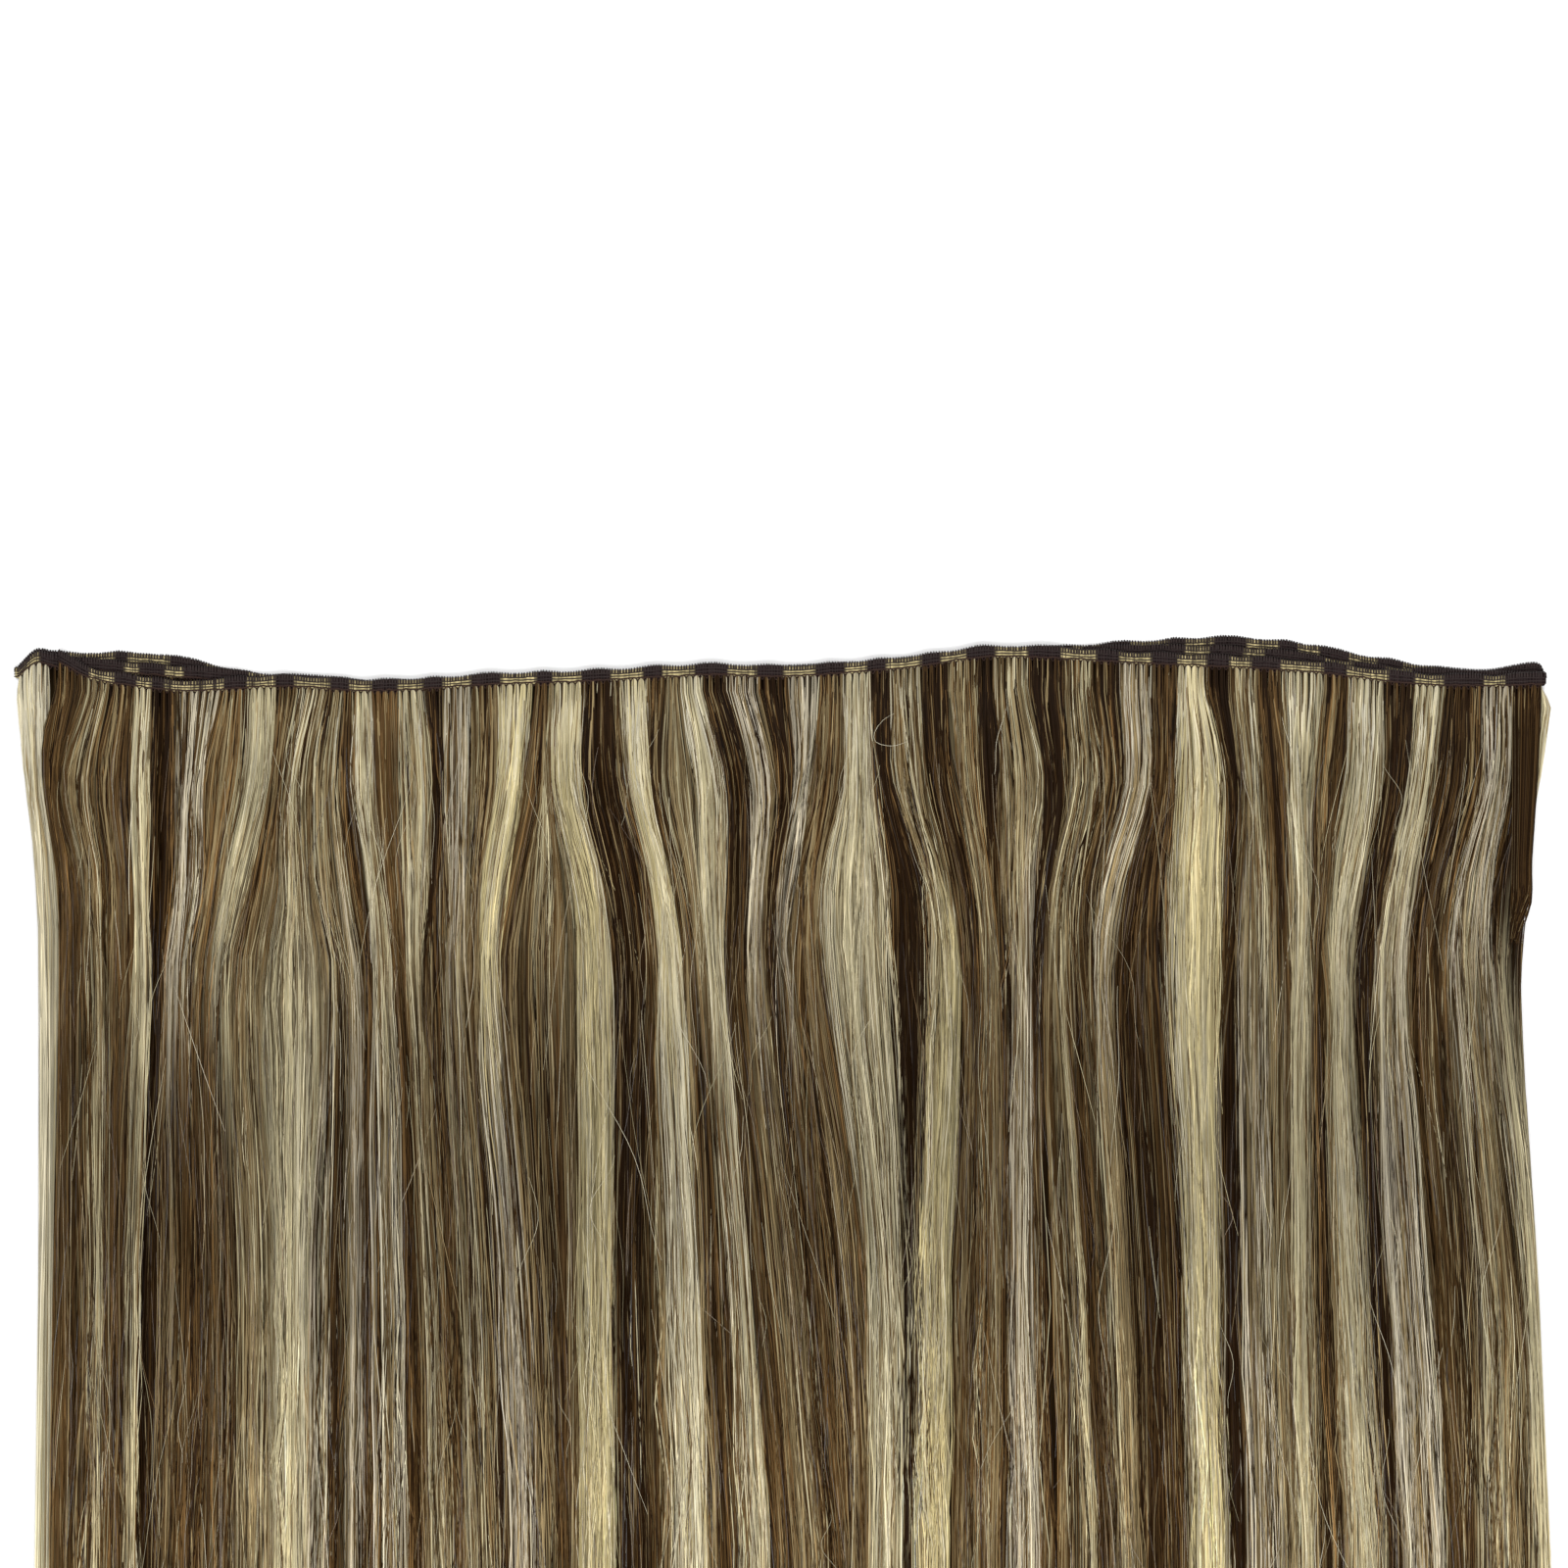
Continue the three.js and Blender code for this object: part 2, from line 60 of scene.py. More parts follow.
# The course of a stitch: how far down, how far out, and which way it faces: down the strip and out from it
STITCH_COURSE = [
    ("foot", 0.50, -0.3, 1.0), (0.25, 0.46, -0.3, 0.9), (-0.12, 0.0, -1.0, 0.0),
    (0.25, -0.46, -0.3, -0.9), ("foot", -0.50, -0.3, -1.0),
]
THREAD_ROW = 1.25
MIDDLE_ROW = 2.0
THREAD_RADIUS = 0.17
THREAD_OUT = 0.48
CROSSING_RADIUS = 0.1
CROSSING_OUT = 0.47
CROSSED_FROM = 70
CROSSED_OVER = 60
CROSSED_SHARE = (0.06, 0.4)
LOOP_ROW = 2.75
LOOP_ROW_RADIUS = 0.22
LOOP_TIP = 3.7
LOOP_RADIUS = 0.13
# The course of a leg of a loop: how far from its slit, how far down and how far out
LOOP_COURSE = [(0.8, LOOP_ROW, 0.46), (0.42, LOOP_ROW + 0.3, 0.46), (0.06, LOOP_TIP, 0.3)]
TUFT_PITCH = 1.8
TUFTS_IN_A_RUN = 240
TUFT_REACH = (4, 26)
TUFT_MINGLE = 0.6
RIPPLE_WINDOW = 5
RUN_STEP = 1.0
CORE_STEP = 0.9
ROW_STEP = 1.1

# The hair
HAIR_LENGTH = 406
ROOT_DEPTH = 2.5
ROOT_SPREAD = (-0.2, 0.4)
RUN_END = 0.3
GAP = 0.3
LAYER_PITCH = BAND_THICKNESS + GAP
DOME_POWER = 2.2
NOTCH_DEPTH = 42
NOTCH_POWER = 1.6
LENGTH_SPREAD = 16
TIP_PINCH = 0.65
LEAST_Z = 0.15
STRAND_WIDTH = 0.18
WIDTH_SPREAD = (0.6, 1.4)
TWIST = 0.5
ROOT_ROLL = 0.25
BRIGHTEST = 0.85

# How hair is drawn together near its root: by its stitch, and by its tuft
STITCH_PULL = 0.12
TUFT_PULL = 0.25

# Waves of the hair: how much it calms down, how much looser it is lower down, and how fine its frizz is
CALMED = 0.25
LOOSENED = 1.1
FRIZZ_STEP = 3.1

# Numbers of hairs
FRONT_HAIRS = 12500
FRONT_ROAMERS = 450
COVERED_HAIRS = 1400
COVERED_ROAMERS = 100
CROSSING_WISPS = 60
CROSSING_SIZE = 16
CROSSING_DEPTH = 0.3
SURFACE_HAIRS = 5000
FLYAWAYS = 320
TRESS_HAIRS = 260

# Wisps: their width, how many hairs share a colour, and how far they wander from their course
WISP_WIDTH = 1.7
LEAST_WISPS = 2
LEAST_HAIRS = 6
HAIRS_TOGETHER = 3
WANDER = 0.65
CROSSING_WANDER = 3.0

# Shares of hairs that don't have the colour of their group
OWN_COLOUR = 0.2
WISP_COLOUR = 0.35
FLANK_COLOUR = 0.35
LOW_FLANK_COLOUR = 0.1
# How much darker hairs at the flanks of a lock are made: painted shade between locks
PAINTED_FLANK_SHADE = 0.3
# The length over which a hair turns from its upper colour to its lower one
COLOUR_TURN = 60

# The mass of hair under the loose hairs
MASS_DEPTH = 1.2
MASS_OVERLAP = 0.2
MASS_SHORTER = 14
MASS_LEAST = 0.1

# Short ends of hair on the front layer
SURFACE_INSET = 0.5
SURFACE_LIFT = (-0.1, 0.2)
SURFACE_ROAMING = 0.25
LOW_FROM = -95
FINE_ROLL = 0.4

# Loose hairs across the front layer, and the one that is curled
FLYAWAY_WIDTH = 0.08
FLYAWAY_LIFT = 0.12
FLYAWAY_ARCH = (0.1, 0.9)
CURL = [
    (28.9, -9.8), (26.0, -11.5), (23.8, -14.6), (24.0, -17.1), (26.6, -18.1), (29.4, -18.1), (32.2, -17.1),
]

# The short tress at the right edge, with its widths by the distance from the root
TRESS_X = 193.0
TRESS_LENGTH = (60, 69)
TRESS_WIDTHS = np.array([(0, 8.0), (25, 6.5), (50, 5.0), (69, 3.5)])
TRESS_INSET = 0.2
TRESS_CURL_IN = 1.6
TRESS_CURL_BACK = 1.5

# Distances from the root at which a hair has a station, and the same for hair that the front layer covers
STATIONS = np.array([
    0, 2, 5, 9, 14, 20, 27, 34, 42, 51, 61, 73, 87, 102, 118, 135, 153, 172, 192, 214, 238, 310, 406,
]) / HAIR_LENGTH
COVERED_STATIONS = np.array([
    0, 2, 4.5, 7.5, 11, 15, 20, 27, 36, 50, 72, 110, 170, 250, 335, 406,
]) / HAIR_LENGTH

# The width of a hair at shares of its length, and the painted light and shade along it: how much brighter or
# darker a hair is made by the distance from its root
TAPER = np.array([(0, 0.8), (0.02, 1), (0.75, 1), (1, 0.25)])
PAINTED_LIGHT_ALONG_HAIR = np.array([
    (0, 0.80), (22, 0.80), (52, 1.01), (88, 0.83), (128, 0.74), (168, 0.92),
    (215, 1.36), (300, 1.20), (406, 1.10),
])

# Spans of a hair in which something sets in: how far from the root each starts, and its length
SPANS = {
    # Leaving the stitch, and rising to the top of the layer
    "stitch": (0, 1.6), "rise": (0, 13),
    # Taking up the waves of the wisp, calming down and getting looser again
    "wave": (4, 22), "calm": (60, 60), "loosen": (140, 60),
    # Leaving the wisp, turning about its own path and keeping inside the layer
    "weave": (3, 30), "drift": (8, 120), "roll": (8, 30), "edge": (6, 14),
    # A roamer's coming up, the short tress's bulge, and the mass's drawing in and the fading of its painted
    # shade
    "surface": (25, 120), "bulge": (45, 24), "inset": (0, 8), "light": (3, 16),
}

# The Y at which each column of a lock table is taken: root, bend, belly, settle, low and edge
LEVELS = np.array([-3.8, -28.1, -53.6, -79.2, -155.8, -232.4])

# One layer of hair: Y, its thickness and the depth of the furrows between locks
BODY = np.array([
    (-430, 0.6, 0.1), (-350, 1.3, 0.5), (-260, 2.0, 0.9), (-150, 2.4, 1.1),
    (-60, 2.4, 1.2), (-28, 1.9, 0.8), (-5, 1.1, 0.2), (12, 1.1, 0.1),
])
FULL_BODY = BODY[:, 1].max()

# Upper edges of the three runs of the band: X and Y
FRONT_RUN = np.array([
    (-188.5, 6.6), (-180.1, 2.3), (-168.6, 0.3), (-155.6, -1.0), (-130.0, 0.2), (-107.0, -1.0),
    (-73.3, 0.8), (-51.6, 1.5), (-19.2, 3.2), (1.0, 2.8), (31.7, 5.0), (55.2, 7.9),
    (91.7, 6.3), (135.6, 4.1), (164.5, 0.8), (182.1, 0.3), (197.4, 0.7),
])
MIDDLE_RUN = np.array([
    (-199.0, 2.6), (-194.6, 6.4), (-190.5, 5.5), (-178.5, 4.3), (-153.0, 2.3), (-127.5, 0.3),
    (-96.8, -1.2), (-25.3, 1.6), (15.6, 3.1), (51.3, 6.6), (102.4, 7.9), (128.0, 6.9), (153.5, 3.0),
    (173.9, 1.3), (197.4, 0.7),
])
REAR_RUN = np.array([
    (-199.0, 2.6), (-194.6, 6.7), (-190.5, 6.3), (-183.0, 6.2), (-165.8, 6.1), (-155.6, 4.6), (-135.1, 0.5),
    (-101.9, -1.3), (-25.3, 1.5), (15.6, 3.3), (71.8, 7.7), (97.8, 9.5), (115.7, 10.2),
    (133.1, 8.9), (153.5, 5.1), (181.1, 1.3), (196.2, 3.3), (198.2, 1.6),
])

# Edges of the layers, by X at each of LEVELS
FRONT_LEFT = (-192.6, -192.3, -188.5, -188.0, -189.5, -190.8)
MIDDLE_LEFT = (-199.6, -197.2, -194.2, -193.6, -193.6, -194.6)
MIDDLE_RIGHT = (200.6, 196.8, 192.6, 190.2, 194.4, 198.0)
REAR_LEFT = (-199.0, -196.2, -193.0, -192.4, -192.4, -193.4)
REAR_RIGHT = (195.6, 193.4, 191.4, 189.4, 193.4, 196.6)

# Locks: the shade near the root, the shade further down, and the X of the right edge at each of LEVELS
FOLD_LOCK = ("cream", "cream", -190.6, -190.6, -187.0, -186.5, -188.0, -189.2)
FRONT_LOCKS = [
    ("brown", "brown", -181.1, -187.5, -183.4, -182.9, -181.6, -182.6),
    ("ash", "ash", -174.7, -178.3, -175.5, -175.5, -176.2, -177.3),
    ("brown", "brown", -168.8, -169.9, -168.6, -168.3, -170.6, -170.9),
    ("blonde", "ash", -164.0, -164.8, -164.8, -164.5, -167.3, -168.6),
    ("dark", "dark", -157.6, -157.3, -158.1, -160.4, -161.9, -163.2),
    ("silver", "mouse", -146.4, -150.7, -151.2, -154.8, -153.0, -155.3),
    ("caramel", "brown", -139.5, -140.7, -145.8, -149.7, -148.7, -148.9),
    ("blonde", "mouse", -131.8, -133.3, -138.7, -144.1, -142.3, -143.0),
    ("mouse", "ash", -126.7, -130.5, -131.8, -136.1, -132.6, -133.1),
    ("ash", "blonde", -119.3, -123.9, -122.6, -118.5, -122.6, -123.1),
    ("ash", "silver", -117.0, -119.8, -118.3, -115.2, -116.0, -116.7),
    ("ash", "brown", -115.7, -118.3, -115.7, -113.4, -113.7, -114.2),
    ("ash", "silver", -114.2, -115.5, -112.9, -109.3, -109.1, -109.3),
    ("deep", "deep", -111.9, -111.6, -107.8, -105.5, -103.4, -102.9),
    ("blonde", "silver", -107.0, -105.7, -104.0, -101.1, -99.4, -98.9),
    ("russet", "deep", -100.4, -99.9, -98.6, -97.3, -93.2, -91.2),
    ("blonde", "ash", -93.2, -90.7, -91.7, -93.2, -89.1, -86.6),
    ("dark", "brown", -88.4, -88.4, -87.9, -87.6, -83.0, -80.5),
    ("silver", "ash", -79.7, -79.7, -81.0, -82.8, -77.4, -74.8),
    ("mouse", "deep", -74.1, -74.3, -78.7, -78.4, -72.3, -69.2),
    ("gold", "silver", -64.6, -66.9, -71.0, -74.6, -67.9, -64.9),
    ("brown", "mouse", -61.0, -62.1, -66.7, -68.7, -64.6, -61.6),
    ("ash", "mouse", -60.0, -60.3, -54.4, -52.9, -52.4, -52.6),
    ("gold", "gold", -51.6, -52.1, -46.7, -44.2, -44.2, -43.7),
    ("dark", "dark", -43.7, -42.1, -36.3, -34.0, -36.0, -33.5),
    ("mouse", "mouse", -42.7, -41.1, -35.2, -32.9, -29.1, -27.8),
    ("gold", "cream", -35.2, -34.0, -28.6, -25.0, -21.2, -18.4),
    ("mouse", "brown", -30.7, -32.4, -25.8, -22.7, -18.1, -14.6),
    ("ash", "brown", -26.8, -23.5, -22.0, -19.7, -15.1, -12.0),
    ("blonde", "blonde", -20.9, -14.8, -14.8, -15.3, -8.7, -2.3),
    ("dark", "brown", -14.8, -8.2, -8.2, -8.4, 0.3, 6.9),
    ("silver", "ash", -5.9, -1.3, -4.1, -4.6, 3.6, 11.0),
    ("dark", "brown", 1.5, 3.1, -0.3, -1.3, 6.4, 13.0),
    ("silver", "brown", 9.5, 7.4, 2.8, 1.0, 8.4, 15.1),
    ("mouse", "brown", 15.6, 15.3, 10.0, 11.2, 23.0, 23.2),
    ("blonde", "blonde", 22.7, 23.5, 26.8, 27.3, 30.1, 30.4),
    ("dark", "dark", 27.6, 28.9, 36.5, 37.8, 36.0, 35.5),
    ("ash", "gold", 35.8, 37.8, 43.4, 46.2, 43.4, 43.4),
    ("dark", "brown", 42.9, 44.7, 50.6, 51.3, 51.1, 49.8),
    ("ash", "caramel", 50.6, 51.9, 53.9, 56.4, 56.7, 55.9),
    ("deep", "deep", 54.9, 55.9, 56.4, 57.7, 58.0, 57.7),
    ("ash", "silver", 63.6, 68.2, 66.2, 65.4, 65.1, 68.2),
    ("dark", "brown", 73.1, 74.3, 70.5, 69.2, 73.3, 74.8),
    ("ash", "ash", 77.9, 79.4, 74.6, 73.8, 78.7, 83.0),
    ("ash", "brown", 79.9, 82.2, 77.4, 76.4, 81.0, 84.8),
    ("brown", "deep", 82.5, 84.3, 79.2, 78.4, 82.8, 86.6),
    ("deep", "ash", 87.6, 88.6, 81.5, 79.9, 84.5, 88.4),
    ("silver", "ash", 95.5, 95.5, 88.9, 85.3, 90.2, 92.2),
    ("deep", "deep", 102.7, 101.7, 99.4, 99.9, 104.2, 106.5),
    ("gold", "gold", 110.1, 115.2, 114.4, 113.7, 113.7, 116.0),
    ("dark", "dark", 117.0, 119.5, 118.8, 117.8, 118.8, 121.1),
    ("ash", "silver", 123.1, 124.9, 126.2, 126.9, 127.5, 130.5),
    ("brown", "ash", 128.7, 131.0, 132.6, 133.3, 133.6, 135.1),
    ("blonde", "blonde", 140.7, 137.9, 138.2, 136.9, 137.4, 139.0),
    ("brown", "brown", 146.9, 145.1, 141.8, 141.3, 143.3, 147.9),
    ("blonde", "blonde", 156.3, 155.6, 150.4, 147.1, 151.0, 156.3),
    ("dark", "dark", 164.2, 161.9, 156.8, 154.0, 156.6, 161.2),
    ("blonde", "silver", 171.9, 169.1, 164.2, 161.7, 167.6, 173.4),
    ("deep", "brown", 181.6, 180.8, 174.2, 171.4, 177.5, 179.6),
    ("silver", "ash", 189.8, 188.8, 184.4, 184.2, 193.4, 196.9),
    ("dark", "blonde", 197.6, 196.0, 194.1, 191.6, 195.9, 199.5),
]

# Plain locks of the layers that the front covers, and how much denser the two locks of them that show are
PLAIN_SHADES = ["ash", "dark", "blonde", "brown"]
MIDDLE_COUNT = 27
REAR_COUNT = 24
SWAY = 2.6
DENSE = 11

# How far the crest of a lock rises in its layer: pale locks lie over dark ones
CREST = {
    "cream": 1.0, "blonde": 0.95, "gold": 0.95, "silver": 0.85, "ash": 0.8,
    "mouse": 0.7, "caramel": 0.65, "russet": 0.6, "brown": 0.6, "deep": 0.55, "dark": 0.5,
}

# Colours of single hairs, and the share of each in a lock of each shade
HAIR = {
    "cream": "#bab195", "blonde": "#a99f7e", "gold": "#afa277", "silver": "#afa58f", "ash": "#7a6a4b",
    "caramel": "#6f5533", "russet": "#5a4329", "brown": "#49361e", "dark": "#1f1308",
}
PALE_HAIRS = ("cream", "blonde", "gold", "silver")
MIX = {
    "cream": {"cream": 0.72, "gold": 0.10, "ash": 0.12, "brown": 0.04, "dark": 0.02},
    "blonde": {"blonde": 0.57, "cream": 0.14, "ash": 0.16, "brown": 0.09, "dark": 0.04},
    "gold": {"gold": 0.63, "cream": 0.14, "blonde": 0.10, "ash": 0.07, "brown": 0.06},
    "silver": {"silver": 0.38, "cream": 0.08, "ash": 0.20, "brown": 0.14, "dark": 0.20},
    "ash": {"ash": 0.36, "blonde": 0.23, "brown": 0.25, "dark": 0.16},
    "mouse": {"ash": 0.29, "blonde": 0.03, "brown": 0.34, "caramel": 0.06, "dark": 0.28},
    "caramel": {"caramel": 0.30, "ash": 0.28, "brown": 0.24, "blonde": 0.08, "dark": 0.10},
    "russet": {"russet": 0.30, "caramel": 0.10, "brown": 0.32, "ash": 0.20, "dark": 0.08},
    "brown": {"brown": 0.46, "dark": 0.34, "ash": 0.14, "caramel": 0.06},
    "deep": {"dark": 0.62, "brown": 0.30, "caramel": 0.03, "ash": 0.05},
    "dark": {"dark": 0.87, "brown": 0.10, "ash": 0.03},
    "flank": {"caramel": 0.28, "brown": 0.34, "ash": 0.26, "dark": 0.12},
    "roaming": {"ash": 0.30, "brown": 0.34, "blonde": 0.16, "caramel": 0.08, "dark": 0.12},
    "flyaway": {"cream": 0.45, "ash": 0.25, "blonde": 0.20, "caramel": 0.10},
    "tress": {"dark": 0.74, "brown": 0.20, "ash": 0.06},
}
THREAD = "#2d2422"
LOOP_THREAD = "#302019"
PALE_ROOTS = "#9c8f69"
DARK_ROOTS = "#221a1a"

# Where pale tufts are sewn into the runs of the band, as spans of X. The other tufts are dark.
PALE_TUFTS = {
    "hair_front": [
        (-180.6, -174.9), (-168.8, -164.2), (-159.6, -152.4), (-151.2, -146.9), (-138.7, -132.6),
        (-127.4, -119.3), (-112.1, -106.5), (-99.9, -92.7), (-88.6, -81.0), (-73.3, -65.1), (-60.0, -51.8),
        (-45.2, -36.5), (-30.4, -22.5), (-14.6, -7.2), (0.3, 9.4), (15.3, 22.2), (27.6, 35.0),
        (41.4, 47.8), (55.2, 64.4), (73.0, 81.2), (87.3, 95.0), (102.4, 109.1), (116.7, 120.8),
        (129.0, 140.7), (147.4, 156.3), (164.5, 172.4), (182.1, 188.0),
    ],
    "hair_middle": [
        (-200.6, -193.6), (-171.6, -167.6), (-160.4, -156.5), (-140.0, -130.0), (-112.0, -104.0),
        (-84.0, -75.0), (-50.0, -43.0), (-20.0, -12.0), (10.0, 18.0), (44.0, 52.0), (70.0, 78.0),
        (105.2, 110.7), (119.2, 125.1), (140.8, 149.0), (157.0, 163.6),
    ],
    "hair_rear": [
        (-185.7, -175.2), (-170.5, -160.8), (-150.8, -141.1), (-137.9, -131.0), (-108.0, -99.0),
        (-80.0, -72.0), (-45.0, -36.0), (-14.0, -6.0), (20.0, 28.0), (50.0, 58.0), (76.4, 83.2),
        (91.6, 99.7), (104.8, 111.6), (120.9, 128.9), (133.8, 139.0), (147.0, 155.4), (161.3, 168.6),
    ],
}

# The stage, in metres and watts
FLOOR_Z = -0.00005
FLOOR_GREYS = (0.955, 0.965)
WORLD_STRENGTH = 0.36
KEY = {"place": (-0.05, 0.63, 1.5), "aim": (0, 0.15, 0), "size": (1.2, 0.5), "watts": 15}
FILL = {"place": (0.1, -0.5, 1.65), "aim": (0, 0.05, 0), "size": (1.3, 0.8), "watts": 27}
VIEW_CENTRE = (0.0003, 0.1718)
VIEW_WIDTH = 0.4087
CAMERA_HEIGHT = 1.6
SENSOR = 36


def linear(code):
    """Linear red, green and blue of a colour code."""
    parts = np.array([int(code[i:i + 2], 16) for i in (1, 3, 5)]) / 255
    return np.where(parts <= 0.04045, parts / 12.92, ((parts + 0.055) / 1.055) ** 2.4)


def hair_colours(kinds):
    return np.array([linear(HAIR[kind]) for kind in kinds])


def tinted(kinds, values):
    return hair_colours(kinds) * values[:, None]


def pick_hairs(mix, count, rng):
    """Names of hairs drawn in the shares of a mix."""
    return rng.choice(list(mix), size=count, p=np.array(list(mix.values())) / sum(mix.values()))


def smooth(t):
    """0 below 0, 1 above 1, and an even rise between."""
    t = np.clip(t, 0, 1)
    return t * t * (3 - 2 * t)


def eased(far, span):
    """0 up to the start of a span of the hair, 1 after its end, and an even rise between."""
    start, length = SPANS[span]
    return smooth((far - start) / length)


def along(keys, values, at):
    """A smooth curve through values at rising keys, read at places. Rows of values need rows of places."""
    before = np.concatenate([keys[:1], keys[:-1]])
    after = np.concatenate([keys[1:], keys[-1:]])
    rise_before = np.concatenate([values[..., :1], values[..., :-1]], axis=-1)
    rise_after = np.concatenate([values[..., 1:], values[..., -1:]], axis=-1)
    slopes = (rise_after - rise_before) / (after - before)
    at = np.clip(at, keys[0], keys[-1])
    i = np.clip(np.searchsorted(keys, at) - 1, 0, len(keys) - 2)
    span = keys[i + 1] - keys[i]
    t = (at - keys[i]) / span

    def read(table, k):
        return table[k] if table.ndim == 1 else np.take_along_axis(table, k, axis=-1)

    low, high = read(values, i), read(values, i + 1)
    leave = t * (1 - t) ** 2 * span * read(slopes, i)
    arrive = t * t * (t - 1) * span * read(slopes, i + 1)
    return low + (high - low) * smooth(t) + leave + arrive


def thickness(y):
    return along(BODY[:, 0], BODY[:, 1], y)


def furrow(y):
    return along(BODY[:, 0], BODY[:, 2], y)


def notch(share):
    """How much shorter hair is towards the sides of its lock."""
    return NOTCH_DEPTH * np.abs(2 * np.clip(share, 0, 1) - 1) ** NOTCH_POWER


def tuft_pull(far, reach):
    """How strongly hairs are drawn together into their tuft, by the distance from the root."""
    return STITCH_PULL * (1 - eased(far, "stitch")) + TUFT_PULL * (1 - smooth((far - 1) / reach))


class Layer:
    """A layer of hair: the run of the band it hangs from, and its locks from left to right."""

    def __init__(self, node, level, run, release, left, locks, dense=()):
        self.node = node
        self.level = level
        self.run = run
        # How far from the root the hair at an end of the run takes to reach its own lock
        self.release = release
        self.shades = [lock[0] for lock in locks]
        self.low_shades = [lock[1] for lock in locks]
        # Columns are turned round so that Y rises along each row
        self.edges = np.array([left] + [lock[2:] for lock in locks])[:, ::-1]
        self.widths = np.diff(self.edges, axis=0).mean(axis=1)
        self.crest = np.array([CREST[shade] for shade in self.shades])
        # How far down from the root each tuft holds together
        shortest, longest = TUFT_REACH
        reach_share = np.random.default_rng(level).random(TUFTS_IN_A_RUN) ** 2
        self.tuft_reach = shortest + (longest - shortest) * reach_share
        self.density = np.ones(len(locks))
        self.density[list(dense)] = DENSE

    def upper_edge(self, x):
        return along(self.run[:, 0], self.run[:, 1], x)

    def band_z(self):
        return self.level * LAYER_PITCH + BAND_THICKNESS / 2

    def seat(self, y):
        return self.level * (thickness(y) + GAP)

    def edge(self, number, y):
        return along(LEVELS[::-1], self.edges[number], y)

    def across(self, lock, share, y):
        """X at a share of the way across each lock, at each Y."""
        left = self.edge(lock, y)
        return left + (self.edge(lock + 1, y) - left) * share

    def root(self, lock, share):
        """X at the root of hairs at a share of the way across each lock."""
        return self.across(lock, share, np.full((len(lock), 1), LEVELS[0]))

    def held(self, x):
        """X kept to the part of the run that hair is sewn into."""
        return np.clip(x, self.run[0, 0] + RUN_END, self.run[-1, 0] - RUN_END)

    def tufted(self, x, far):
        """The shift in X that draws hairs at root places x together into tufts."""
        number = np.floor(x / TUFT_PITCH).astype(int)
        reach = self.tuft_reach[number - math.floor(self.run[0, 0] / TUFT_PITCH)]
        return ((number + 0.5) * TUFT_PITCH - x) * tuft_pull(far, reach)

    def ridged(self, crest, share, y):
        """Z of the top of the layer, which rises to a crest in the middle of each lock."""
        dome = 1 - np.abs(2 * np.clip(share, 0, 1) - 1) ** DOME_POWER
        return self.seat(y) + thickness(y) - (1 - crest * dome) * furrow(y)

    def top(self, lock, share, y):
        """Z of the top of the layer at a share of the way across each lock, at each Y."""
        return self.ridged(self.crest[lock][:, None], share, y)

    def top_at(self, x, y):
        """Z of the top of the layer at any places on it."""
        edges = np.stack([along(LEVELS[::-1], row, y) for row in self.edges], axis=-1)
        lock = np.clip((edges < x[..., None]).sum(axis=-1) - 1, 0, len(self.shades) - 1)
        left = np.take_along_axis(edges, lock[..., None], axis=-1)[..., 0]
        right = np.take_along_axis(edges, lock[..., None] + 1, axis=-1)[..., 0]
        return self.ridged(self.crest[lock], (x - left) / (right - left), y)


def plain_locks(left, right, count, rng):
    """Evenly spaced locks between two edges, each swaying a little down the hair."""
    left, right = np.array(left), np.array(right)
    locks = []
    for i in range(count):
        share = (i + 1) / count
        sway = SWAY * math.sin(math.pi * share) * (rng.random(len(LEVELS)) - 0.5)
        shade = PLAIN_SHADES[rng.integers(len(PLAIN_SHADES))]
        locks.append((shade, shade, *(left + (right - left) * share + sway)))
    return locks


def axes_along(paths, up):
    """Unit vectors aside from paths and up from them, at each of their stations."""
    ahead = np.gradient(paths, axis=1)
    ahead /= np.linalg.norm(ahead, axis=2, keepdims=True)
    aside = np.cross(ahead, np.broadcast_to(up, paths.shape))
    aside /= np.linalg.norm(aside, axis=2, keepdims=True)
    return aside, np.cross(aside, ahead)


def columns(count, stations, sides):
    """A place on a map for each point of a set of strands: a column for each strand."""
    u = (np.arange(count)[:, None, None] + np.arange(sides) / (sides - 1)) / count
    v = np.linspace(0, 1, stations)[:, None]
    shape = (count, stations, sides)
    return np.stack([np.broadcast_to(u, shape), np.broadcast_to(v, shape)], axis=-1).reshape(-1, 2)


def ribbons(paths, half_widths, rolls):
    """Open strips along paths (count, stations, 3), rolled about them: points, faces and places on a map."""
    aside, lift = axes_along(paths, UP)
    reach = (aside * np.cos(rolls)[..., None] + lift * np.sin(rolls)[..., None]) * half_widths[..., None]
    points = np.stack([paths - reach, paths + reach], axis=2)
    index = np.arange(points.size // 3).reshape(points.shape[:3])
    quads = np.stack([index[:, :-1, 0], index[:, :-1, 1], index[:, 1:, 1], index[:, 1:, 0]], axis=-1)
    return points.reshape(-1, 3), [quads.reshape(-1, 4)], columns(*points.shape[:3])


def tubes(paths, radii, up, sides=3):
    """Closed tubes along paths (count, stations, 3): points, faces and places on a map."""
    aside, lift = axes_along(paths, up)
    angles = math.pi / 2 + math.pi / sides + np.arange(sides) * TURN / sides
    ring = np.cos(angles)[:, None] * aside[:, :, None, :] + np.sin(angles)[:, None] * lift[:, :, None, :]
    points = paths[:, :, None, :] + ring * np.broadcast_to(radii, paths.shape[:2])[:, :, None, None]
    index = np.arange(points.size // 3).reshape(points.shape[:3])
    turned = np.roll(index, -1, axis=2)
    quads = np.stack([index[:, :-1], index[:, 1:], turned[:, 1:], turned[:, :-1]], axis=-1)
    caps = np.concatenate([index[:, 0], index[:, -1, ::-1]])
    return points.reshape(-1, 3), [quads.reshape(-1, 4), caps], columns(*points.shape[:3])


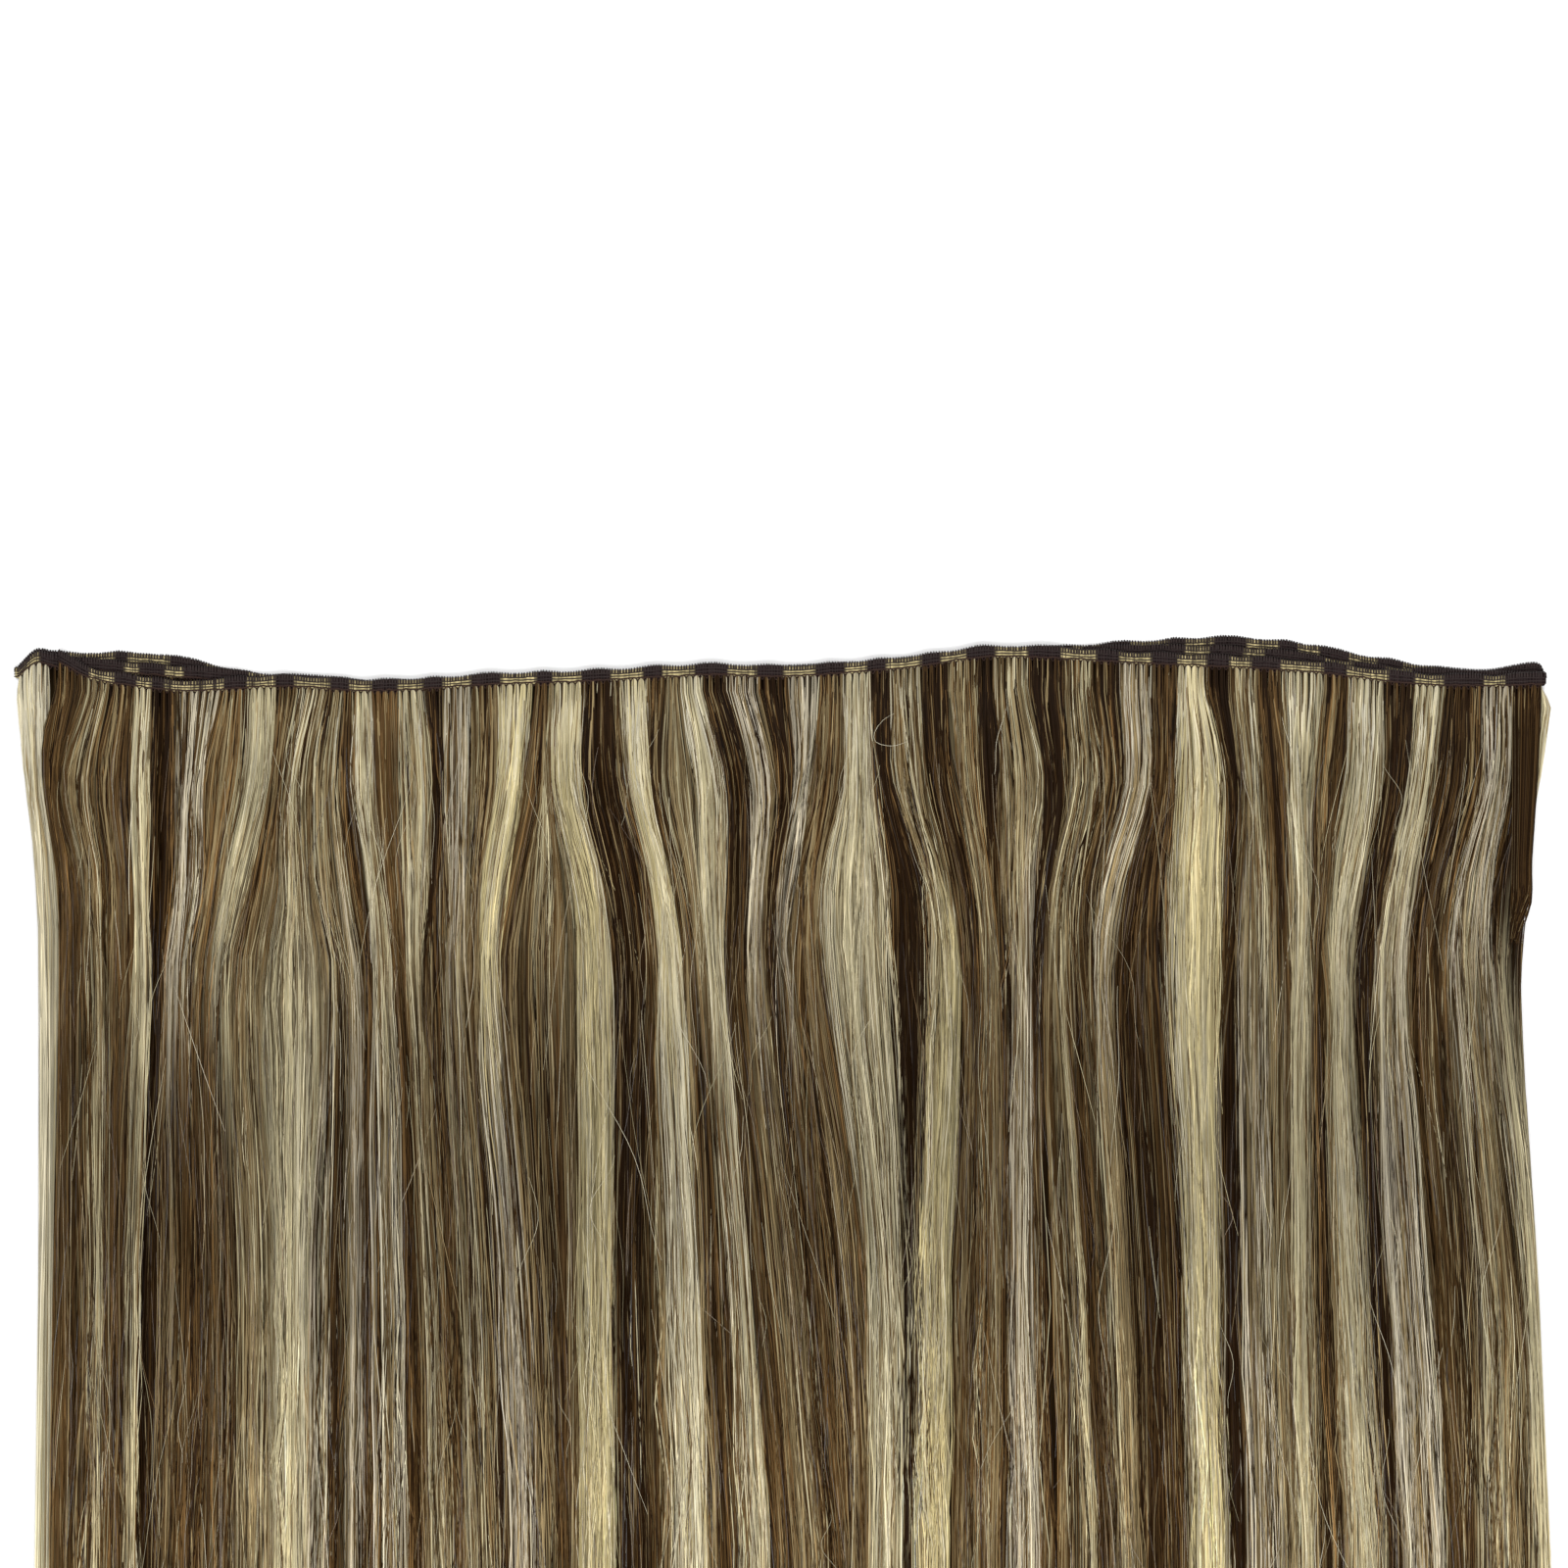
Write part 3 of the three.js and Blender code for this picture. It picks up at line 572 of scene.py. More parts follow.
def joined(blocks):
    """Several sets of points, faces and places as one, with their maps one above another."""
    points, faces, places, start = [], [], [], 0
    for i, (block_points, block_faces, block_places) in enumerate(blocks):
        points.append(block_points)
        faces += [block + start for block in block_faces]
        places.append(block_places * (1, 0.9 / len(blocks)) + (0, (i + 0.05) / len(blocks)))
        start += len(block_points)
    return np.concatenate(points), faces, np.concatenate(places)


def add_piece(name, points, faces, tints, material, node, places=None):
    """A smooth mesh in the part's frame, with a colour at each point, that stands for a CAD node."""
    data = bpy.data.meshes.new(name)
    data.vertices.add(len(points))
    data.vertices.foreach_set("co", ((points + SHIFT) * MM).astype(np.float32).ravel())
    sizes = np.concatenate([np.full(len(block), block.shape[1]) for block in faces])
    corners = np.concatenate([block.ravel() for block in faces]).astype(np.int32)
    data.loops.add(len(corners))
    data.loops.foreach_set("vertex_index", corners)
    data.polygons.add(len(sizes))
    data.polygons.foreach_set("loop_start", (np.cumsum(sizes) - sizes).astype(np.int32))
    data.polygons.foreach_set("use_smooth", np.ones(len(sizes), dtype=bool))
    tint = data.color_attributes.new("tint", "FLOAT_COLOR", "POINT")
    tint.data.foreach_set("color", np.hstack([tints, np.ones((len(tints), 1))]).astype(np.float32).ravel())
    if places is not None:
        data.uv_layers.new(name="OFBake").uv.foreach_set("vector", places[corners].astype(np.float32).ravel())
    data.update(calc_edges=True)
    data.materials.append(material)
    piece = bpy.data.objects.new(name, data)
    bpy.context.collection.objects.link(piece)
    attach(piece, "root")
    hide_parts(node)


def noise_range(nodes, low, high):
    """A node that takes the greater part of a noise's range to a range from low to high."""
    node = nodes.new("ShaderNodeMapRange")
    for socket, value in (("From Min", 0.3), ("From Max", 0.7), ("To Min", low), ("To Max", high)):
        node.inputs[socket].default_value = value
    return node


def streaked(name, stretch, depth, roughness, specular):
    """A satin material in each point's own colour, varied by fine streaks along the hair."""
    material = bpy.data.materials.new(name)
    material.use_nodes = True
    nodes, links = material.node_tree.nodes, material.node_tree.links
    shader = nodes["Principled BSDF"]
    shader.inputs["Specular IOR Level"].default_value = specular
    tint = nodes.new("ShaderNodeAttribute")
    tint.attribute_name = "tint"
    place = nodes.new("ShaderNodeTexCoord")
    mapping = nodes.new("ShaderNodeMapping")
    mapping.inputs["Scale"].default_value = stretch
    noise = nodes.new("ShaderNodeTexNoise")
    noise.inputs["Scale"].default_value = 1.0
    noise.inputs["Detail"].default_value = 3.0
    gain = noise_range(nodes, 1 - depth, 1 + depth)
    gloss = noise_range(nodes, *roughness)
    scale = nodes.new("ShaderNodeVectorMath")
    scale.operation = "SCALE"
    links.new(place.outputs["Object"], mapping.inputs["Vector"])
    links.new(mapping.outputs["Vector"], noise.inputs["Vector"])
    links.new(noise.outputs["Fac"], gain.inputs["Value"])
    links.new(noise.outputs["Fac"], gloss.inputs["Value"])
    links.new(tint.outputs["Color"], scale.inputs[0])
    links.new(gain.outputs["Result"], scale.inputs["Scale"])
    links.new(scale.outputs["Vector"], shader.inputs["Base Color"])
    links.new(gloss.outputs["Result"], shader.inputs["Roughness"])
    return material


def draw_wisp(layer, lock, centre, spread, wander, count, rng):
    """The hairs of one wisp, a row of numbers each: they share a curve, and a few together share a colour."""
    upper, low = MIX[layer.shades[lock]], MIX[layer.low_shades[lock]]
    groups = -(-count // HAIRS_TOGETHER)

    def by_group(values):
        return np.repeat(values, HAIRS_TOGETHER)[:count]

    def varied(wisp=0, group=0, hair=0):
        """Random shifts with these spreads: one for the wisp, one for each group and one for each hair."""
        shift = 0
        if wisp:
            shift = shift + rng.normal(0, wisp)
        if group:
            shift = shift + by_group(rng.normal(0, group, groups))
        if hair:
            shift = shift + rng.normal(0, hair, count)
        return shift

    aside = varied(group=1, hair=0.18)
    share = 1 - np.abs(1 - np.abs(centre + spread * aside))
    flank = np.clip(np.abs(2 * share - 1), 0, 1) ** 2
    # The outer sides of the layer have no lock beside them
    flank *= np.where(share < 0.5, lock > 0, lock < len(layer.shades) - 1)
    kinds, low_kinds = by_group(pick_hairs(upper, groups, rng)), by_group(pick_hairs(low, groups, rng))
    kinds = np.where(rng.random(count) < OWN_COLOUR, pick_hairs(upper, count, rng), kinds)
    low_kinds = np.where(rng.random(count) < WISP_COLOUR, pick_hairs(low, 1, rng)[0], low_kinds)
    kinds = np.where(rng.random(count) < FLANK_COLOUR * flank, pick_hairs(MIX["flank"], count, rng), kinds)
    low_flank = rng.random(count) < LOW_FLANK_COLOUR * flank
    low_kinds = np.where(low_flank, pick_hairs(MIX["flank"], count, rng), low_kinds)
    values = np.exp(varied(wisp=0.06, group=0.2, hair=0.14))
    # Hairs at the flanks of a lock are made darker: painted shade between locks
    values = np.clip(values, 0.45, 1.9) * (1.08 - PAINTED_FLANK_SHADE * flank)
    return {
        "lock": np.full(count, lock),
        "share": share,
        "drift": varied(wisp=wander, group=0.5, hair=0.2),
        "weave": varied(group=0.4, hair=0.07),
        "bow": varied(wisp=0.4, group=0.3),
        "bow_wave": rng.uniform(38, 95) * by_group(rng.uniform(0.94, 1.06, groups)),
        "frizz": varied(hair=0.1),
        "phase": rng.uniform(0, TURN) + varied(group=0.25),
        "depth": rng.uniform(0, 0.35) + 0.12 * aside ** 2 + by_group(rng.uniform(0, 0.5, groups)),
        "dive": rng.uniform(0.05, 0.35, count),
        "dive_wave": rng.uniform(45, 150, count),
        "hidden": np.zeros(count),
        "puff": varied(wisp=0.13, hair=0.05),
        "puff_wave": rng.uniform(22, 48) * rng.uniform(0.95, 1.05, count),
        "roll": varied(wisp=0.4, hair=0.3),
        "pale": np.isin(kinds, PALE_HAIRS) & np.isin(low_kinds, PALE_HAIRS),
        "tint": tinted(kinds, values),
        "low_tint": tinted(low_kinds, values),
        "turn": rng.uniform(12, 62) + rng.uniform(0, 25, count),
    }


def draw_roamers(layer, count, rng):
    """Hairs that start deep under their locks, come up lower down and stray across the locks beside them."""
    kinds = pick_hairs(MIX["roaming"], count, rng)
    tints = tinted(kinds, np.clip(rng.normal(1, 0.2, count), 0.5, 1.5))
    return {
        "lock": rng.choice(len(layer.widths), size=count, p=layer.widths / layer.widths.sum()),
        "share": rng.random(count),
        "drift": rng.normal(0, 2.4, count),
        "weave": rng.normal(0, 0.4, count),
        "bow": rng.normal(0, 0.6, count),
        "bow_wave": rng.uniform(60, 200, count),
        "frizz": rng.normal(0, 0.11, count),
        "phase": rng.uniform(0, TURN, count),
        "depth": rng.uniform(0, 0.3, count),
        "dive": rng.uniform(0.05, 0.3, count),
        "dive_wave": rng.uniform(45, 150, count),
        "hidden": np.full(count, 1.4),
        "puff": np.zeros(count),
        "puff_wave": np.full(count, 30.0),
        "roll": rng.normal(0, 0.5, count),
        "pale": np.isin(kinds, PALE_HAIRS),
        "tint": tints,
        "low_tint": tints,
        "turn": np.zeros(count),
    }


def draw_hairs(layer, total, crossing, roamers, rng):
    """All the hairs of a layer: the wisps of each lock, a few that cross to other locks, and roamers."""
    sets = []
    per_mm = total / layer.widths.sum()
    for lock, width in enumerate(layer.widths):
        wisps = max(LEAST_WISPS, round(width / WISP_WIDTH))
        count = max(LEAST_HAIRS, round(per_mm * layer.density[lock] * width / wisps))
        for wisp in range(wisps):
            centre = (wisp + 0.5 + rng.normal(0, 0.12)) / wisps
            spread = rng.uniform(0.35, 0.7) / wisps
            sets.append(draw_wisp(layer, lock, centre, spread, WANDER, count, rng))
    for _ in range(crossing):
        lock = rng.integers(len(layer.widths))
        spread = 0.5 / layer.widths[lock]
        hairs = draw_wisp(layer, lock, rng.random(), spread, CROSSING_WANDER, CROSSING_SIZE, rng)
        hairs["depth"] *= CROSSING_DEPTH
        sets.append(hairs)
    sets.append(draw_roamers(layer, roamers, rng))
    return {key: np.concatenate([hairs[key] for hairs in sets]) for key in sets[0]}


def strand_paths(layer, hairs, far, rng):
    """The path of each hair: out of its stitch, into its lock, down to a pointed tip."""
    column = {key: values[:, None] for key, values in hairs.items() if values.ndim == 1}
    lock, phase = hairs["lock"], column["phase"]
    root_x = layer.root(lock, column["share"])
    held_x = layer.held(root_x)
    y = layer.upper_edge(held_x) - ROOT_DEPTH - far
    # Each lock narrows over the last quarter of its length
    share = column["share"] + (0.5 - column["share"]) * TIP_PINCH * np.clip(4 * far / HAIR_LENGTH - 3, 0, 1)
    # Multiples of the phase keep the waves of a hair apart
    wave = eased(far, "wave") * (1 - CALMED * eased(far, "calm") + LOOSENED * eased(far, "loosen"))
    bow = column["bow"] * np.sin(TURN * far / column["bow_wave"] + phase)
    frizz = column["frizz"] * np.sin(far / FRIZZ_STEP + 7 * phase)
    x = layer.across(lock, share, y) + column["drift"] * eased(far, "drift") + (bow + frizz) * wave
    x += column["weave"] * eased(far, "weave")
    x += (held_x - root_x) * (1 - smooth(far / layer.release))
    x += layer.tufted(held_x, far)
    left, right = layer.edge(0, y), layer.edge(-1, y)
    inside = np.where(x < left, left + 0.5 * (left - x), np.where(x > right, right - 0.5 * (x - right), x))
    x += (inside - x) * eased(far, "edge")
    dive = np.sin(TURN * far / column["dive_wave"] + 5 * phase)
    puff = np.sin(TURN * far / column["puff_wave"] + 3 * phase)
    sunk = column["depth"] + column["dive"] * (1 + dive) + column["hidden"] * (1 - eased(far, "surface"))
    sunk = sunk + wave * column["puff"] * puff
    top = layer.top(lock, share, y) - sunk * thickness(y) / FULL_BODY
    root_z = layer.band_z() + rng.uniform(*ROOT_SPREAD, (len(far), 1))
    z = np.maximum(root_z + (top - root_z) * eased(far, "rise"), LEAST_Z)
    return np.stack([x, y, z], axis=-1)


def add_strands(layer, hairs, stations, parts, rng):
    """The loose hairs of a layer: pieces of hairs that are pale from root to tip, and of all the others."""
    count = len(hairs["lock"])
    length = HAIR_LENGTH - notch(hairs["share"]) - LENGTH_SPREAD * rng.random(count)
    far = length[:, None] * stations
    paths = strand_paths(layer, hairs, far, rng)
    taper = np.interp(stations, TAPER[:, 0], TAPER[:, 1])
    half_widths = STRAND_WIDTH / 2 * rng.uniform(*WIDTH_SPREAD, (count, 1)) * taper
    rolls = np.clip(hairs["roll"][:, None] + rng.normal(0, TWIST, (count, 1)) * far / 100, -1, 1)
    rolls *= ROOT_ROLL + (1 - ROOT_ROLL) * eased(far, "roll")
    low = smooth((far - hairs["turn"][:, None]) / COLOUR_TURN)[..., None]
    tints = hairs["tint"][:, None] * (1 - low) + hairs["low_tint"][:, None] * low
    # Each hair is made brighter or darker along its length: painted light and shade
    tints = np.minimum(tints * along(PAINTED_LIGHT_ALONG_HAIR[:, 0], PAINTED_LIGHT_ALONG_HAIR[:, 1], far)[..., None], BRIGHTEST)
    for word, material, group in (("pale", pale_hair, hairs["pale"]), ("dark", dark_hair, ~hairs["pale"])):
        for part, chosen in enumerate(np.array_split(np.flatnonzero(group), parts)):
            # In order of brightness, so that neighbours on the map are alike
            chosen = chosen[np.argsort(tints[chosen].mean(axis=(1, 2)), kind="stable")]
            points, faces, places = ribbons(paths[chosen], half_widths[chosen], rolls[chosen])
            colours = np.repeat(tints[chosen].reshape(-1, 3), 2, axis=0)
            name = f"{layer.node}_{word}_strands_{part + 1}"
            add_piece(name, points, faces, colours, material, layer.node, places)


def add_mass(layer, per_lock, rows):
    """The closed mass of hair under a layer's loose hairs, with so many columns of points in each lock. It is
    coloured as its locks darkened, most near the root: painted shade.
    """
    locks = len(layer.shades)
    lock = np.append(np.repeat(np.arange(locks), per_lock), locks - 1)
    share = np.append(np.tile(np.arange(per_lock) / per_lock, locks), 1.0)[:, None]
    root_x = layer.root(lock, share)
    held_x = layer.held(root_x)
    far = (HAIR_LENGTH - MASS_SHORTER - notch(share)) * rows
    y = layer.upper_edge(held_x) - BAND_HEIGHT + MASS_OVERLAP - far
    x = layer.across(lock, share, y) + (held_x - root_x) * (1 - smooth(far / layer.release))
    inset = 1.2 * eased(far, "inset")
    x = np.clip(x, layer.edge(0, y) + inset, layer.edge(-1, y) - inset)
    top = layer.top(lock, share, y) - MASS_DEPTH * np.minimum(1, thickness(y) / FULL_BODY)
    low = layer.seat(y) + 0.08
    root_top = layer.band_z() - 0.1
    high = np.maximum(root_top + (top - root_top) * eased(far, "rise"), low + MASS_LEAST)
    points = np.concatenate([np.stack([x, y, z], axis=-1).reshape(-1, 3) for z in (high, low)])
    a = np.arange(len(lock) * len(rows)).reshape(len(lock), len(rows))
    sheet = np.stack([a[:-1, :-1], a[:-1, 1:], a[1:, 1:], a[1:, :-1]], axis=-1).reshape(-1, 4)
    rim = np.concatenate([a[:, 0], a[-1, 1:], a[-2::-1, -1], a[0, -2:0:-1]])
    after = np.roll(rim, -1)
    walls = np.stack([rim, after, after + a.size, rim + a.size], axis=-1)
    mixes = [MIX[name] for name in layer.shades]
    shade = np.array([sum(linear(HAIR[kind]) * part for kind, part in mix.items()) for mix in mixes])
    # The mass is its locks' colour made darker, darkest at the root: painted shade for hair deep in the lock
    light = 0.06 + 0.3 * eased(far, "light")
    tints = (shade[lock][:, None, :] * light[:, :, None]).reshape(-1, 3)
    add_piece(
        f"{layer.node}_mass", points, [sheet, (sheet + a.size)[:, ::-1], walls],
        np.concatenate([tints, tints]), mass_material, layer.node,
    )


def fine_taper(t, power):
    """The width of a fine hair along it: thin at both ends."""
    return np.sin(math.pi * (0.08 + 0.84 * t)) ** power


def add_fine_hairs(name, paths, half_widths, tints, rng):
    """Fine hairs on the front layer, each in one colour."""
    rolls = np.broadcast_to(rng.normal(0, FINE_ROLL, (len(paths), 1)), paths.shape[:2])
    points, faces, places = ribbons(paths, half_widths, rolls)
    colours = np.repeat(tints, paths.shape[1] * 2, axis=0)
    add_piece(name, points, faces, colours, pale_hair, "hair_front", places)


def add_surface_hairs(count, rng):
    """Short ends of hair that lie on the locks of the front layer and stray a little from their course."""
    t = np.linspace(0, 1, 6)
    lock = rng.choice(len(front.widths), size=count, p=front.widths / front.widths.sum())
    share = rng.random((count, 1))
    length = rng.uniform(12, 45, (count, 1))
    start_y = -14 - 320 * rng.random((count, 1))
    y = start_y - length * t
    lean = 0.045 * rng.standard_t(3, (count, 1)) * length * t
    bend = rng.normal(0, 0.5, (count, 1)) * np.sin(math.pi * t)
    x = front.across(lock, share, y) + (lean + bend)
    x = np.clip(x, front.edge(0, y) + SURFACE_INSET, front.edge(-1, y) - SURFACE_INSET)
    z = front.top(lock, share, y) + rng.uniform(*SURFACE_LIFT, (count, 1))
    shades = np.where(y[:, 0] > LOW_FROM, np.array(front.shades)[lock], np.array(front.low_shades)[lock])
    shades = np.where(rng.random(count) < SURFACE_ROAMING, "roaming", shades)
    kinds = [pick_hairs(MIX[shade], 1, rng)[0] for shade in shades]
    tints = tinted(kinds, np.clip(np.exp(rng.normal(0.08, 0.28, count)), 0.5, 1.8))
    half_widths = FLYAWAY_WIDTH / 2 * rng.uniform(0.8, 1.4, (count, 1)) * fine_taper(t, 0.5)
    add_fine_hairs("hair_front_surface_hairs", np.stack([x, y, z], axis=-1), half_widths, tints, rng)


def add_flyaways(count, rng):
    """Thin hairs that lie loose across the front layer, the first of them curled."""
    t = np.linspace(0, 1, 13)
    start_x = rng.uniform(-185, 188, (count, 1))
    start_y = -8 - 300 * rng.random((count, 1)) ** 1.3
    length = rng.uniform(15, 65, (count, 1))
    lean = rng.normal(0, 0.12, (count, 1))
    bend = rng.normal(0, 2.5, (count, 1))
    x = start_x + length * np.sin(lean) * t + bend * np.sin(math.pi * t) ** 2 + bend * 0.6 * t * t
    y = start_y - length * np.cos(lean) * t
    curl = np.array(CURL)
    steps = np.linspace(0, 1, len(curl))
    x[0], y[0] = along(steps, curl[:, 0], t), along(steps, curl[:, 1], t)
    z = front.top_at(x, y) + FLYAWAY_LIFT + rng.uniform(*FLYAWAY_ARCH, (count, 1)) * np.sin(math.pi * t)
    kinds = pick_hairs(MIX["flyaway"], count, rng)
    kinds[0] = "cream"
    half_widths = FLYAWAY_WIDTH / 2 * fine_taper(t, 0.4) * np.ones((count, 1))
    add_fine_hairs("hair_front_flyaways", np.stack([x, y, z], axis=-1), half_widths, hair_colours(kinds), rng)


def add_short_tress(count, rng):
    """A short dark tress over the right edge of the front layer. Its tips curl in and make a soft end."""
    share = rng.random((count, 1))
    far = rng.uniform(*TRESS_LENGTH, (count, 1)) * np.linspace(0, 1, 20)
    t = far / far[:, -1:]
    y = front.upper_edge(np.full((count, 1), TRESS_X)) - ROOT_DEPTH - far
    edge = front.edge(-1, y)
    curl = smooth((t - 0.85) / 0.15)
    width = np.interp(far, TRESS_WIDTHS[:, 0], TRESS_WIDTHS[:, 1])
    bulge = 0.9 * np.sin(math.pi * eased(far, "bulge")) * share
    x = edge - TRESS_INSET - (1 - share) * width + bulge - TRESS_CURL_IN * share * curl
    x += (front.held(x) - x) * (1 - smooth(far / front.release))
    x += front.tufted(np.broadcast_to(x[:, :1], x.shape), far)
    y = y + TRESS_CURL_BACK * curl ** 2 * rng.uniform(0.2, 1.2, (count, 1))
    top = front.top_at(np.minimum(x, edge - 1.5), y) + 0.1 + 0.35 * rng.random((count, 1)) + 0.4 * curl
    root_z = front.band_z() + 0.3 * rng.random((count, 1))
    paths = np.stack([x, y, root_z + (top - root_z) * eased(far, "rise")], axis=-1)
    half_widths = STRAND_WIDTH / 2 * np.interp(t, [0, 0.8, 1], [1, 1, 0.4])
    rolls = np.broadcast_to(rng.normal(0, FINE_ROLL, (count, 1)), t.shape)
    points, faces, places = ribbons(paths, half_widths, rolls)
    kinds = pick_hairs(MIX["tress"], count, rng)
    tints = np.repeat(hair_colours(kinds), t.shape[1] * 2, axis=0)
    add_piece("hair_front_short_tress", points, faces, tints, dark_hair, "hair_front", places)


def pale_roots(layer, x):
    """Whether the roots sewn into a run of the band are pale, at each X."""
    spans = np.array(PALE_TUFTS[layer.node])
    return ((x[:, None] > spans[:, 0]) & (x[:, None] < spans[:, 1])).any(axis=1)


class Strip:
    """The sewn band as one strip: its places along the three runs and round the two folds."""

    def __init__(self):
        places = []
        for layer, turn in ((front, 0), (middle, math.pi), (rear, 0)):
            x = np.arange(layer.run[0, 0], layer.run[-1, 0] + RUN_STEP / 2, RUN_STEP)
            x[-1] = layer.run[-1, 0]
            lift = self.ripple(layer, x)
            heights = (LOOP_ROW + lift) / LOOP_ROW
            level, turns = np.full(len(x), layer.band_z()), np.full(len(x), turn)
            run = np.stack([x, layer.upper_edge(x) + lift, level, turns, heights], axis=-1)
            places.append(run[::-1] if turn else run)
        places.insert(1, self.fold(front, middle, places[0][-1], 1))
        places.insert(3, self.fold(middle, rear, places[2][-1], -1))
        self.table = np.concatenate(places)
        steps = np.linalg.norm(np.diff(self.table[:, :3], axis=0), axis=1)
        self.far = np.concatenate([[0], np.cumsum(steps)])
        self.length = self.far[-1]
        ends = np.cumsum([len(rows) for rows in places])
        self.runs = [slice(0, ends[0]), slice(ends[1], ends[2]), slice(ends[3], ends[4])]

    @staticmethod
    def ripple(layer, x):
        """Dark tufts stand a little higher than pale ones."""
        lift = np.where(pale_roots(layer, x), -PALE_DROP, DARK_RISE)
        window = np.full(RIPPLE_WINDOW, 1 / RIPPLE_WINDOW)
        return np.convolve(np.pad(lift, RIPPLE_WINDOW // 2, mode="edge"), window, mode="valid")

    @staticmethod
    def fold(upper, lower, place, side):
        """Places round a fold from one run to the run under it, after the last place of the upper one."""
        radius = (upper.band_z() - lower.band_z()) / 2
        angle = np.linspace(0, math.pi, 9)[1:-1]
        x = place[0] + side * radius * np.sin(angle)
        z = (upper.band_z() + lower.band_z()) / 2 + radius * np.cos(angle)
        turn = angle if side > 0 else math.pi - angle
        return np.stack([x, np.full(len(angle), place[1]), z, turn, np.full(len(angle), place[4])], axis=-1)

    def slits(self):
        """Distances along the strip of the slits between tufts."""
        found = []
        for run in self.runs:
            x, far = self.table[run, 0], self.far[run]
            first, last = sorted((x[0], x[-1]))
            at = np.arange(math.ceil(first / TUFT_PITCH), math.floor(last / TUFT_PITCH) + 1) * TUFT_PITCH
            found.append(np.interp(at, x, far) if x[0] < x[-1] else np.interp(at, x[::-1], far[::-1]))
        return np.concatenate(found)

    def places(self, far):
        """X and Y of the upper edge, Z, turn and relative height of the strip, at distances along it."""
        return np.stack([np.interp(far, self.far, column) for column in self.table.T], axis=-1)

    def point(self, far, across, out):
        """Points at distances along the strip, below its upper edge and out from its middle."""
        x, y, z, turn, height = np.moveaxis(self.places(far), -1, 0)
        return np.stack([x + out * np.sin(turn), y - across * height, z + out * np.cos(turn)], axis=-1)

    def facing(self, far, across, out):
        """The direction that is so much down the strip and so much out from it."""
        turn = self.places(far)[..., 3]
        y = np.broadcast_to(-across, turn.shape)
        return np.stack([out * np.sin(turn), y, out * np.cos(turn)], axis=-1)


def pale_along(far, rng):
    """Whether the hair sewn into the strip is pale, at distances along it. Tufts mingle where they meet."""
    x, z = strip.places(far)[:, 0], strip.places(far)[:, 2]
    x = x + rng.normal(0, TUFT_MINGLE, len(x))
    near = LAYER_PITCH / 2
    runs = [pale_roots(layer, x) & (np.abs(z - layer.band_z()) <= near) for layer in (front, middle, rear)]
    return np.any(runs, axis=0)


def add_band_core(rng):
    """The flattened roots inside the band, in the colours of their tufts."""
    far = np.arange(0, strip.length, CORE_STEP)
    points = np.stack([strip.point(far, across, out) for across, out in BAND_SECTION], axis=1)
    index = np.arange(points.shape[0] * points.shape[1]).reshape(points.shape[:2])
    turned = np.roll(index, -1, axis=1)
    sides = np.stack([index[:-1], turned[:-1], turned[1:], index[1:]], axis=-1).reshape(-1, 4)
    ends = np.stack([index[0, ::-1], index[-1]])
    colours = np.where(pale_along(far, rng)[:, None], linear(PALE_ROOTS), linear(DARK_ROOTS))
    colours = colours * np.clip(rng.normal(1, 0.15, (len(far), 1)), 0.6, 1.4)
    tints = np.repeat(colours, len(BAND_SECTION), axis=0)
    points = points.reshape(-1, 3)
    add_piece("weft_band_roots", points, [sides, ends], tints, mass_material, "weft_band")


def stitch_tubes(far, rng):
    """Stitches over the upper edge of the band, down to a foot on each face."""
    foot = STITCH_FOOT + rng.normal(0, 0.08, len(far))
    rows = [foot if row == "foot" else row for row, _, _, _ in STITCH_COURSE]
    path = np.stack([strip.point(far, row, out) for row, (_, out, _, _) in zip(rows, STITCH_COURSE)], axis=1)
    up = np.stack([strip.facing(far, down, outward) for _, _, down, outward in STITCH_COURSE], axis=1)
    return tubes(path, STITCH_RADIUS, up)


def crossing_tubes(far, face):
    """Thin threads down one face, from the thread row to the loop row."""
    path = np.stack([strip.point(far, row, face * CROSSING_OUT) for row in (THREAD_ROW, LOOP_ROW)], axis=1)
    up = np.stack([strip.facing(far, 0.0, face)] * 2, axis=1)
    return tubes(path, CROSSING_RADIUS, up)


def row_tube(row, wobble, radius, face, rng):
    """A thread along one face of the whole strip."""
    far = np.arange(0, strip.length, ROW_STEP)
    path = strip.point(far, row + rng.normal(0, wobble, len(far)), face * THREAD_OUT)[None]
    return tubes(path, radius, strip.facing(far, 0.0, face)[None])


def loop_tubes(far, side, face):
    """One leg of the V of thread that closes on each slit between tufts."""
    path = [strip.point(far + side * reach, row, face * out) for reach, row, out in LOOP_COURSE]
    up = [strip.facing(far, 0.0, face)] * len(LOOP_COURSE)
    return tubes(np.stack(path, axis=1), LOOP_RADIUS, np.stack(up, axis=1))


